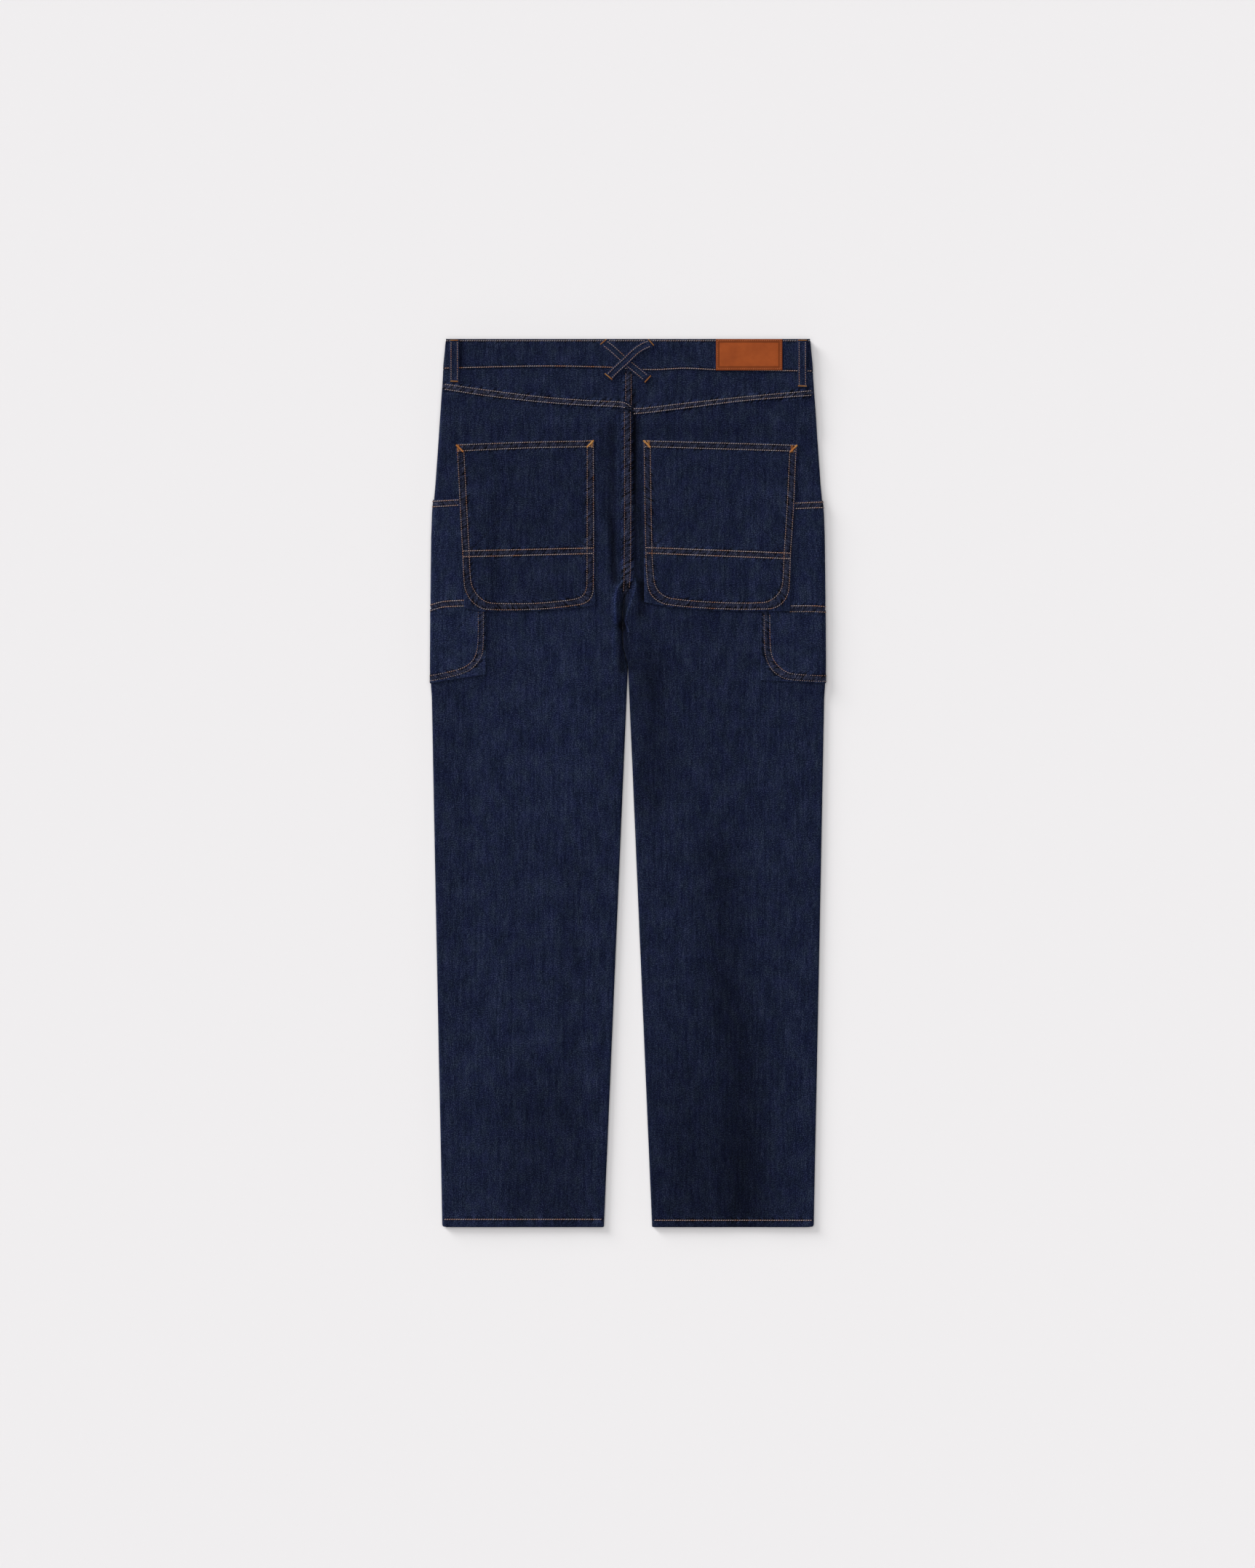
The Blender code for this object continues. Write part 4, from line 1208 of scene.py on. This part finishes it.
def make_back(side, denim):
    """A yoke and the back leg piece under it."""
    name = side_name(side)

    def band_line(across):
        return along(BAND_EDGE, across) + SEAM_GAP

    def yoke_line(across):
        return along(YOKE_EDGE[name], across)

    def leg_line(across):
        return yoke_line(across) + SEAM_GAP

    yoke_shares = spread(GRID_LENGTHS["yoke"], FINE, (False, True))
    leg_shares = spread(GRID_LENGTHS["back leg"], FINE, (False, False))
    pieces = (
        ("yoke", band_line, yoke_line, yoke_shares, np.zeros(0)),
        ("back_leg", leg_line, level_line, leg_shares, rows_for_leg(*LEG_STEPS["back"])),
    )
    for kind, *lines, shares, below in pieces:
        grid = leg_grid(side, BACK_CENTRE, *lines, shares, below, BACK_COLUMNS)
        across, down, rise, inward, from_seam = grid
        height, tone = back_face(side, across, down)
        middle = lift(side, inward, down) + LAID / 2 + INNER_STAND
        if side < 0:
            lap = centre_lap(from_seam, down)
            height = height + LAP_RISE * lap * quarter_round(from_seam, FOLD_ROUND)
            tone = tone + LAP_TONES["centre"] * lap
        from_edge, thickness, rests_on = LENGTH - down, leg_cloth(down), ["floor"]
        if kind == "yoke":
            below_edge = yoke_line(across) - down
            lap = yoke_lap(below_edge)
            height = height + LAP_RISE * lap * quarter_round(below_edge, FOLD_ROUND)
            tone = tone + LAP_TONES["yoke"] * lap
            from_edge, thickness, rests_on = FAR_OFF, CLOTH, [f"front_leg_{name}"]
        surface = place(across, down, middle + rise * (height - middle))
        grids = wall(surface, True, from_edge, thickness)
        field = seam_field(BACK_SEAMS, BODY_ROPE, across, down)
        tone = tone + edge_tone("side", inward) - yoke_hollow_shade(field["seam"], across, down)
        shades = {"tone": tone, **field}
        shell(f"{kind}_{name}", grids, cloth_at(across, down), shades, denim)


def make_front(side, denim):
    """The hidden front leg piece, flat where it rests."""

    def top_line(across):
        return front_band_top(across) + band_depth(across) + SEAM_GAP

    shares = spread(GRID_LENGTHS["front leg"], COARSE, (False, False))
    rows = rows_for_leg(*LEG_STEPS["front"])
    grid = leg_grid(side, FRONT_CENTRE, top_line, level_line, shares, rows, FRONT_COLUMNS)
    across, down, rise, inward, _ = grid
    outside = lift(side, inward, down) + 2 * FLOOR_CLEAR + thread_room(FRONT_SEAMS, across, down)
    middle = outside + LAID / 2 - INNER_STAND
    surface = place(across, down, middle - rise * (middle - outside))
    grids = wall(surface, False, LENGTH - down, leg_cloth(down))
    keep_above(grids[0])
    cloth = cloth_at(across, down, WEAVE_SHIFTS["front leg"])
    shades = {"tone": edge_tone("side", inward), **seam_field(FRONT_SEAMS, BODY_ROPE, across, down)}
    shell(f"front_leg_{side_name(side)}", grids, cloth, shades, denim)


def make_waistband(denim):
    """One strip round the waist, its two ends side by side at the fly."""
    middle = (BAND_TOP + WAIST_LIFT) / 2
    radius = (BAND_TOP - WAIST_LIFT) / 2
    flat_edge = BAND_HALF - radius
    bends = np.radians(np.linspace(-BAND_BEND, BAND_BEND, BAND_COLUMNS["bend"]))
    stretches = (
        ("front", np.linspace(FLY_EDGE - SEAM_GAP / 2, -flat_edge, BAND_COLUMNS["front left"])),
        ("left", bends),
        ("back", np.linspace(-flat_edge, flat_edge, BAND_COLUMNS["back"])),
        ("right", bends[::-1]),
        ("front", np.linspace(flat_edge, FLY_EDGE + SEAM_GAP / 2, BAND_COLUMNS["front right"])),
    )
    stations = [(where, value) for where, values in stretches for value in values]
    shares = spread(BAND_DEPTH, BAND_STEP)
    surface = np.zeros((len(shares), len(stations), 3))
    tone = np.zeros(surface.shape[:2])
    for column, (where, value) in enumerate(stations):
        across = np.full_like(shares, value)
        if where == "front":
            down = front_band_top(value) + shares * band_depth(value)
            height = WAIST_LIFT
        elif where == "back":
            down = shares * along(BAND_EDGE, value)
            rise, tone[:, column] = relief(BAND_FOLDS, BAND_PUCKERS, across, down)
            height = BAND_TOP + rise * smooth(flat_edge - abs(value), 0.0, BAND_CALM)
        else:
            side = -1 if where == "left" else 1
            down = shares * along(BAND_EDGE, side * BAND_HALF)
            across = side * (half_width(down) - radius * (1.0 - math.cos(value)))
            height = middle + radius * math.sin(value)
        surface[:, column] = place(across, down, height)
    from_edge = to_ends(shares)[:, None] * BAND_DEPTH + 0.0 * tone
    outer, inner = wall(surface, True, from_edge, BAND_CLOTH)
    inner[..., 2] = np.clip(inner[..., 2], WAIST_LIFT + INNER_STAND, BAND_TOP - INNER_STAND)
    dip = [front_band_top(value) if where == "front" else 0.0 for where, value in stations]
    field = seam_field(BAND_SEAMS, BAND_ROPE, surface[..., 0], TOP - surface[..., 1] - np.array(dip))
    shades = {"tone": tone + edge_tone("waistband", from_edge), **field}
    cloth = cloth_at(walk(surface[5]), surface[..., 1])
    shell("waistband", (outer, inner), cloth, shades, denim)


def pocket_grid(name):
    """(across, down, distance from the nearest edge) over a back pocket."""
    shape = BACK_POCKET[name]
    shares_across = spread(POCKET_WIDTH, FINE)[None, :]
    shares_down = spread(GRID_LENGTHS["back pocket"], FINE)[:, None]
    down = np.full((shares_down.size, shares_across.size), GRID_LENGTHS["back pocket"])
    for _ in range(GRID_PASSES["pocket"]):
        inner, outer = along(shape["inner"], down), along(shape["outer"], down)
        across = inner + shares_across * (outer - inner)
        top, bottom = along(shape["top"], across), along(shape["bottom"], across)
        down = top + shares_down * (bottom - top)
    width = np.abs(along(shape["outer"], down) - along(shape["inner"], down))
    return across, down, np.minimum(to_ends(shares_across) * width, to_ends(shares_down) * (bottom - top))


def pocket_base(side, across, down):
    """Height of what a back pocket lies on: the seat, and the side pocket under its outer edge."""
    height, _ = back_face(side, across, down)
    return height + SEAM_GAP + POCKET_STAND * pocket_zone(side, half_width(down) - side * across, down)


def pocket_top(side, across, down, from_edge):
    """(height, tone) of a back pocket's outer face."""
    name = side_name(side)
    rise, tone = relief(POCKET_FOLDS[name], POCKET_PUCKERS[name], across, down)
    thick = (CLOTH + ALLOWANCE_RISE["back"] * fade(from_edge, *ALLOWANCE_ENDS)) * folded(from_edge)
    height = pocket_base(side, across, down) + thick + rise * smooth(from_edge, 0.0, RISE_FROM_EDGE)
    return height, tone + edge_tone("back pocket", from_edge) + BACK_POCKET[name]["tone"]


def make_back_pocket(side, denim):
    name = side_name(side)
    across, down, from_edge = pocket_grid(name)
    height, tone = pocket_top(side, across, down, from_edge)
    outer = place(across, down, height)
    inner = place(across, down, pocket_base(side, across, down))
    cloth = cloth_at(across, down, WEAVE_SHIFTS["back pocket"])
    shades = {"tone": tone, **seam_field(POCKET_SEAMS[name], POCKET_ROPE, across, down)}
    shell(f"back_pocket_{name}", (outer, inner), cloth, shades, denim)


def make_side_pocket(side, part, denim):
    """One piece of a side pocket, wrapped round the side's fold."""
    name = side_name(side)
    shape = SIDE_POCKET[name]
    start, end = {"upper": ("top", "seam"), "lower": ("seam", "bottom")}[part]
    sewn = SIDE_SEAMS[name][:2] if part == "upper" else SIDE_SEAMS[name][1:]
    girth = (EDGE_ROLL + POCKET_STAND) * (math.pi / 2 - 1.0)
    from_back = shape["reach"] * MM + girth
    from_front = FRONT_REACH + girth
    shares = spread(from_back + from_front, FINE)[None, :]
    shares_down = spread(GRID_LENGTHS["side pocket"], FINE)[:, None]
    inward = from_back - shares * (from_back + from_front)
    over = np.clip(inward / from_back, 0.0, 1.0)
    top, bottom = ((fold + over * (edge - fold)) * MM for fold, edge in (shape[start], shape[end]))
    bottom = bottom - (SEAM_GAP if part == "upper" else 0.0)
    down = top + shares_down * (bottom - top)
    inward = inward + 0.0 * down
    sideways = np.minimum(from_back - inward, inward + from_front)
    from_edge = np.minimum(sideways, to_ends(shares_down) * (bottom - top))
    puckers = [(rows[0], *SIDE_PUCKER) for rows in SIDE_SEAMS[name]]
    rise, tone = relief([], puckers, inward, down)
    allowance = ALLOWANCE_RISE["side"] * fade(from_edge, *ALLOWANCE_ENDS) if part == "lower" else 0.0
    on_back = smooth(inward, -SIDE_CALM, SIDE_CALM)
    thick = (CLOTH + allowance * on_back) * folded(from_edge)
    thick = thick + rise * on_back * smooth(from_edge, 0.0, RISE_FROM_EDGE)
    thick = thick - (1.0 - on_back) * thread_room(SIDE_SEAMS[name], inward, down)
    base, outward = wrap(side, inward, down, SEAM_GAP)
    outer = base + outward * thick[..., None]
    keep_above(outer)
    cloth = cloth_at(inward, down, WEAVE_SHIFTS["side pocket"])
    tone = tone + edge_tone("side pocket", from_edge) + shape["tone"]
    shades = {"tone": tone, **seam_field(sewn, POCKET_ROPE, inward, down)}
    shell(f"side_pocket_{part}_{name}", (outer, base), cloth, shades, denim)


def front_loop(side):
    """Line of a front belt loop, which lies under the waistband."""
    across = side * FRONT_LOOP_ACROSS
    top = front_band_top(across) + SEAM_GAP
    height = (WAIST_LIFT - SEAM_GAP) / MM
    return [(across / MM, (top + FRONT_LOOP_LENGTH * step / 4) / MM, height) for step in range(5)]


def make_loop(node_name, width, line, facing, denim):
    """A flat strip along a line of (across, down, height). Returns its rows of stitches."""
    points = [place(a * MM, d * MM, h * MM) for a, d, h in line]
    middles = smooth_line(points, LOOP_STEPS["along"])
    heading = np.gradient(middles, axis=0)
    sideways = np.stack([-heading[:, 1], heading[:, 0], 0.0 * heading[:, 0]], axis=-1)
    sideways /= np.linalg.norm(sideways, axis=-1, keepdims=True)
    travelled = walk(middles)[:, None]
    shares = spread(width * MM, LOOP_STEPS["across"])[None, :]
    offset = (shares - 0.5) * width * MM
    from_side = to_ends(shares) * width * MM
    from_end = np.minimum(travelled, travelled[-1] - travelled)
    groove = LOOP_GROOVE * bell(offset, LOOP_GROOVE_HALF) * smooth(from_end, *LOOP_GROOVE_ENDS)
    wave = ripple(travelled, offset, width + line[0][0])
    cloth_thick = LOOP_CLOTH if facing > 0 else LOOP_CLOTH - THREAD_ROOM
    thick = cloth_thick * folded(np.minimum(from_side, from_end + LOOP_END_SHOWN), *LOOP_RIM) - groove
    thick = thick + LOOP_WAVE * MM * wave * smooth(from_side, 0.0, LOOP_WAVE_IN)
    base = middles[:, None, :] + sideways[:, None, :] * offset[..., None]
    outer = base.copy()
    outer[..., 2] += facing * thick
    keep_above(outer)
    # The ripple's part of the tone is painted highlight on its crests and painted shade in its troughs
    shades = {"tone": edge_tone("loop", from_side) + LOOP_WAVE * wave + LOOP_TONE}
    cloth = cloth_at(offset, travelled, WEAVE_SHIFTS["loop"] + line[0][0] * MM)
    shell(node_name, (outer, base), cloth, shades, denim)
    rows = [middles + sideways * width * MM * share for share in LOOP_ROWS]
    for row in rows:
        row[:, 2] += facing * (LOOP_CLOTH + 2 * FLOOR_CLEAR)
        keep_above(row, THREAD_CLEAR)
    return [(row[2:-2], (0.0, 0.0, facing)) for row in rows]


def make_loops(denim):
    """All the belt loops. Returns their rows of stitches, each with the way out of the cloth."""
    rows = []
    for name, (width, line) in LOOPS.items():
        rows += make_loop(name, width, line, 1, denim)
    for side in (-1, 1):
        name = f"belt_loop_front_{side_name(side)}"
        rows += make_loop(name, FRONT_LOOP_WIDTH, front_loop(side), -1, denim)
    return rows


# Patch and button


def make_patch(leather):
    """A bare leather patch with a pressed frame line. Returns its rows of stitches."""
    left, right, top, bottom = (PATCH[edge] * MM for edge in ("left", "right", "top", "bottom"))
    across, down = np.meshgrid(
        left + spread(right - left, PATCH_STEP) * (right - left),
        top + spread(bottom - top, PATCH_STEP) * (bottom - top),
    )
    from_edge = np.min([across - left, right - across, down - top, bottom - down], axis=0)
    frame_line = fade(np.abs(from_edge - PATCH_FRAME_IN), 0.0, PATCH_FRAME_HALF)
    stitches = bell(from_edge - PATCH_STITCH_IN, PATCH_STITCH_HALF)
    border = fade(from_edge, PATCH_FRAME_IN - PATCH_BORDER_FADE, PATCH_FRAME_IN)
    base = BAND_TOP + SEAM_GAP
    crown = PATCH_CROWN * smooth(from_edge, *PATCH_CROWN_ENDS)
    height = base + PATCH_THICK * folded(from_edge, *PATCH_RIM) + crown
    height = height - PATCH_FRAME_DEEP * frame_line - PATCH_STITCH_DEEP * stitches
    tone = edge_tone("patch", from_edge) + PATCH_TONES["stitches"] * stitches
    tone = tone + PATCH_TONES["border"] * border + PATCH_TONES["frame"] * frame_line
    grids = place(across, down, height), place(across, down, base)
    cloth = cloth_at(across, down)
    shell("leather_patch", grids, cloth, {"tone": tone}, leather, "leather")
    inset = PATCH_STITCH_IN
    corners = [
        place(x, y, base + PATCH_THICK - PATCH_THREAD_SUNK)
        for x, y in (
            (left + inset, top + inset), (right - inset, top + inset),
            (right - inset, bottom - inset), (left + inset, bottom - inset),
        )
    ]
    return [np.array(ends) for ends in zip(corners, corners[1:] + corners[:1])]


def make_button(metal):
    """A plain domed jeans button, turned from a profile. Its face is down, on the floor."""
    across = BUTTON["across"] * MM
    centre = place(across, front_band_top(across) + BUTTON["below edge"] * MM, FLOOR_CLEAR)
    angles = 2 * math.pi * np.arange(BUTTON_TURNS) / BUTTON_TURNS
    reach = np.maximum(BUTTON_PROFILE[:, :1], BUTTON_MIDDLE) * BUTTON["radius"] * MM
    heights = BUTTON_PROFILE[:, 1:] * BUTTON["thick"] * MM
    turned = np.broadcast_arrays(reach * np.cos(angles), reach * np.sin(angles), heights)
    vertices = (centre + np.stack(turned, axis=-1)).reshape(-1, 3)
    index = np.arange(len(vertices)).reshape(-1, BUTTON_TURNS)
    after = np.roll(index, -1, axis=1)
    sides = np.stack([index[1:], after[1:], after[:-1], index[:-1]], axis=-1).reshape(-1, 4)
    faces = [*sides.tolist(), index[0].tolist(), index[-1, ::-1].tolist()]
    name = "button_piece"
    finish_piece(name, vertices, faces, vertices[:, :2], {}, metal, SHARP_BUTTON, "metal", "waist_button")


# Stitches


class Threads:
    """Gathers stitches, each a short round bar bowed into the cloth, and joins them in one mesh."""

    SIDES = 6
    END_DIP = 0.5
    # The rings' tone is painted highlight on a stitch's middle and painted shade at its dipping ends
    RINGS = (  # share of the length, size, rise, tone
        (0.06, 0.70, -0.35, 0.05),
        (0.30, 1.0, 0.12, 0.85),
        (0.70, 1.0, 0.12, 0.85),
        (0.94, 0.70, -0.35, 0.05),
    )

    def __init__(self):
        self.vertices = []
        self.faces = []
        self.painted_light = []
        self.greys = []

    def bar(self, start, end, outward, radius, highlight, grey):
        """One stitch between two points on the cloth, with a painted highlight of the given strength on its
        middle and painted shade at its ends, and as grey as its grey.
        """
        heading = end - start
        length = np.linalg.norm(heading)
        heading = heading / length
        sideways = np.cross(heading, outward)
        sideways = sideways / np.linalg.norm(sideways)
        up = np.cross(sideways, heading)
        first = len(self.vertices)
        last = first + 1 + len(self.RINGS) * self.SIDES
        turns = [2 * math.pi * turn / self.SIDES for turn in range(self.SIDES)]
        self.vertices.append(start - up * radius * self.END_DIP)
        for share, size, rise, _ in self.RINGS:
            middle = start + heading * length * share + up * radius * rise
            for angle in turns:
                spoke = sideways * math.cos(angle) + up * math.sin(angle)
                self.vertices.append(middle + spoke * radius * size)
        self.vertices.append(end - up * radius * self.END_DIP)
        self.painted_light += [0.0, *(ring[3] * highlight for ring in self.RINGS for _ in turns), 0.0]
        self.greys += [grey] * (last + 1 - first)
        for turn in range(self.SIDES):
            following = (turn + 1) % self.SIDES
            self.faces.append((first, first + 1 + turn, first + 1 + following))
            for low in range(first + 1, last - self.SIDES, self.SIDES):
                high = low + self.SIDES
                self.faces.append((low + turn, high + turn, high + following, low + following))
            top = last - self.SIDES
            self.faces.append((top + turn, last, top + following))

    def row(self, points, outward, style, pitch=STITCH_PITCH):
        """Stitches one after another along a line of close points, with the way out of the cloth."""
        radius, share, highlight, grey = STITCH_STYLES[style]
        outward = np.broadcast_to(outward, points.shape)
        travelled = walk(points)
        count = max(1, round(travelled[-1] / pitch))
        pitch = travelled[-1] / count
        for step in range(count):
            starts = (step + (1.0 - share) / 2) * pitch
            ends = starts + share * pitch
            start, end, out = (
                np.array([np.interp(at, travelled, column) for column in values.T])
                for at, values in ((starts, points), (ends, points), ((starts + ends) / 2, outward))
            )
            lean = np.cross(end - start, out)
            lean *= STITCH_SLANT / np.linalg.norm(lean)
            # Painted shade: stitches running down the cloth get less of the painted highlight
            downward = abs(end[1] - start[1]) / np.linalg.norm(end - start)
            row_highlight = highlight * (1.0 - DOWN_ROW_PAINTED_SHADE * downward)
            self.bar(start + lean, end - lean, out / np.linalg.norm(out), radius, row_highlight, grey)

    def satin(self, start, end, width, pitch=TACK_PITCH, highlight=1.0):
        """A bar tack: short bars side by side from start to end."""
        heading = end - start
        length = np.linalg.norm(heading)
        sideways = np.cross(heading / length, UPWARD)
        sideways = sideways / np.linalg.norm(sideways) * width / 2
        count = round(length / pitch)
        for step in range(count + 1):
            middle = start + heading * step / count
            reach = sideways + heading / length * pitch * (0.5 if step % 2 else -0.5)
            self.bar(middle - reach, middle + reach, UPWARD, TACK_RADIUS, highlight, TACK_GREY)

    def finish(self, name, material):
        points = np.array(self.vertices)
        shades = {"tone": self.painted_light, "grey": self.greys}
        finish_piece(name, points, self.faces, points[:, :2] + points[:, 2:], shades, material)


def styled(seams, styles):
    """Each row of some seams with its seam's style of stitch."""
    return [(row, style) for rows, style in zip(seams, styles) for row in rows]


def flat_row(threads, line, surface, style):
    """A row on a face whose height is a function of (across, down)."""
    across, down = curve(line)
    threads.row(place(across, down, surface(across, down)), UPWARD, style)


def back_surface(across, down):
    """Height of the back's outer face with its laps, on either side of the centre."""
    heights = []
    for side in (-1, 1):
        edge = along(YOKE_EDGE[side_name(side)], across)
        height = back_face(side, across, down)[0] + LAP_RISE * (down <= edge) * yoke_lap(edge - down)
        if side < 0:
            height = height + LAP_RISE * centre_lap(along(BACK_CENTRE, down) - across, down)
        heights.append(height)
    return np.where(across < along(BACK_CENTRE, down), *heights)


def pocket_surface(side):
    """Height of a back pocket's outer face, as a function of (across, down)."""
    shape = BACK_POCKET[side_name(side)]

    def surface(across, down):
        from_edge = np.min([
            np.abs(across - along(shape["inner"], down)),
            np.abs(across - along(shape["outer"], down)),
            down - along(shape["top"], across),
            along(shape["bottom"], across) - down,
        ], axis=0)
        return pocket_top(side, across, down, from_edge)[0]

    return surface


def band_surface(across, down):
    """Height of the back waistband's outer face."""
    return BAND_TOP + relief(BAND_FOLDS, BAND_PUCKERS, across, down)[0]


def loop_height(across, down):
    """Height of the top of the belt loop that runs nearest to a place."""
    best = (FAR_OFF, 0.0)
    for _, line in LOOPS.values():
        for start, end in zip(line, line[1:]):
            for share in (0.0, 0.25, 0.5, 0.75, 1.0):
                spot = [(low + share * (high - low)) * MM for low, high in zip(start, end)]
                distance = math.hypot(spot[0] - across, spot[1] - down)
                best = min(best, (distance, spot[2]))
    return best[1] + LOOP_CLOTH


def stitch_body(loop_rows, thread):
    threads = Threads()
    for line, style in styled(BACK_SEAMS, BACK_STYLES):
        flat_row(threads, line, back_surface, style)
    for line, style in styled(BAND_SEAMS, BAND_STYLES):
        flat_row(threads, line, band_surface, style)
    for points, outward in loop_rows:
        threads.row(points, outward, "sides")
    threads.finish("stitches_body", thread)


def stitch_pockets(thread):
    threads = Threads()
    for side in (-1, 1):
        name = side_name(side)
        for line, style in styled(POCKET_SEAMS[name], POCKET_STYLES):
            flat_row(threads, line, pocket_surface(side), style)
        for line, style in styled(SIDE_SEAMS[name], SIDE_STYLES):
            points, outward = wrap(side, *curve(line), SIDE_THREAD_STAND)
            keep_above(points, THREAD_CLEAR)
            threads.row(points, outward, style)
    threads.finish("stitches_pockets", thread)


def stitch_tacks(tack_thread):
    """The bar tacks of the belt loops, and those in the corners of the back pockets."""
    threads = Threads()
    for *ends, width in TACKS:
        start, end = (
            place(across * MM, down * MM, loop_height(across * MM, down * MM) + TACK_LIFT)
            for across, down in ends
        )
        threads.satin(start, end, width * MM, highlight=LOOP_TACK_HIGHLIGHT)
    half = CORNER_TACK_SIZE / 2
    for across, down, lean in CORNER_TACKS:
        surface = pocket_surface(-1 if across < 0 else 1)
        spots = [(across * MM + x * half, down * MM + y * half) for x, y in SQUARE]
        corners = [place(*spot, surface(*spot)) for spot in spots]
        opens_right = across * lean < 0
        heavy = (corners[0], corners[2]) if lean > 0 else (corners[1], corners[3])
        beside = (corners[0], corners[3]) if opens_right else (corners[1], corners[2])
        inset = np.array([CORNER_HEM_IN if opens_right else -CORNER_HEM_IN, 0.0, 0.0])
        raised = np.array([0.0, 0.0, TACK_LIFT])
        for kind, (start, end), shift, pitch in (
            ("top", corners[:2], 0.0, CORNER_PITCH),
            ("side", beside, inset, CORNER_PITCH / 2),
            ("heavy", heavy, raised, TACK_PITCH),
        ):
            width, highlight = CORNER_BARS[kind]
            threads.satin(start + shift, end + shift, width, pitch, highlight)
    threads.finish("bar_tacks", tack_thread)


def stitch_patch(patch_rows, patch_thread):
    threads = Threads()
    for points in patch_rows:
        threads.row(points, UPWARD, "edge", PATCH_STITCH_PITCH)
    threads.finish("stitches_patch", patch_thread)


def stitch_front(thread):
    """The rows on the hidden front, below its waistband and on it."""
    threads = Threads()
    for line in (row for rows in FRONT_SEAMS for row in rows):
        across, down = curve(line, FRONT_ROW_STEP)
        points = place(across, down, lift(-1, half_width(down) - np.abs(across), down) + FRONT_THREAD_STAND)
        keep_above(points, THREAD_CLEAR)
        threads.row(points, DOWNWARD, "rope")
    across = np.linspace(-FRONT_BAND_ROW_HALF, FRONT_BAND_ROW_HALF, FRONT_BAND_ROW_POINTS)
    for share in FRONT_BAND_ROWS:
        down = front_band_top(across) + share * band_depth(across)
        threads.row(place(across, down, WAIST_LIFT), DOWNWARD, "rope")
    threads.finish("stitches_front", thread)


# Floor, light and camera


def make_floor():
    mesh = bpy.data.meshes.new("floor")
    corners = [(x * FLOOR_HALF, y * FLOOR_HALF, 0) for x, y in SQUARE]
    mesh.from_pydata(corners, [], [(0, 1, 2, 3)])
    material, graph, shader = new_material("floor")
    graph.feed(shader, {"Base Color": (*FLOOR_COLOUR, 1.0), "Roughness": 1.0, "Specular IOR Level": 0.0})
    mesh.materials.append(material)
    floor = bpy.data.objects.new("floor", mesh)
    bpy.context.scene.collection.objects.link(floor)


def make_light():
    """A broad low key from the upper left, a softer light overhead, and a pale backdrop all round."""
    world = bpy.data.worlds.new("studio")
    bpy.context.scene.world = world
    world.use_nodes = True
    graph = Graph(world.node_tree)
    direction = graph.node("ShaderNodeTexCoord", {})["Generated"]
    height = graph.node("ShaderNodeSeparateXYZ", {"Vector": direction})["Z"]
    graph.feed(graph.nodes["Background"], {"Color": graph.ramp(height, BACKDROP_STOPS)})
    for name, energy, spread_angle, towards in LAMPS:
        lamp = bpy.data.lights.new(name, "SUN")
        lamp.energy = energy
        lamp.angle = math.radians(spread_angle)
        holder = bpy.data.objects.new(name, lamp)
        holder.rotation_mode = "QUATERNION"
        holder.rotation_quaternion = Vector(towards).to_track_quat("-Z", "Y")
        bpy.context.scene.collection.objects.link(holder)


def make_camera():
    """Straight down from above, so that one photo pixel is the same size as in the photo."""
    camera = bpy.data.cameras.new("camera")
    camera.lens = LENS
    camera.sensor_width = SENSOR_WIDTH
    camera.clip_end = CLIP_END
    distance = PHOTO_HEIGHT * METRES_PER_PIXEL * LENS / SENSOR_WIDTH
    eye = bpy.data.objects.new("camera", camera)
    eye.location = (PHOTO_CENTRE[0], PHOTO_CENTRE[1] + TOP - LENGTH / 2, distance + LAID)
    bpy.context.scene.collection.objects.link(eye)
    bpy.context.scene.camera = eye


def main():
    denim = denim_material()
    leather = leather_material()
    metal = metal_material()
    thread = thread_material("thread")
    tack_thread = thread_material("tack_thread")
    patch_thread = thread_material("patch_thread")
    make_waistband(denim)
    for side in (-1, 1):
        make_back(side, denim)
        make_front(side, denim)
        make_back_pocket(side, denim)
        make_side_pocket(side, "upper", denim)
        make_side_pocket(side, "lower", denim)
    loop_rows = make_loops(denim)
    patch_rows = make_patch(leather)
    make_button(metal)
    stitch_body(loop_rows, thread)
    stitch_pockets(thread)
    stitch_tacks(tack_thread)
    stitch_patch(patch_rows, patch_thread)
    stitch_front(thread)
    make_floor()
    make_light()
    make_camera()
    bpy.context.scene.view_settings.view_transform = "Standard"


main()
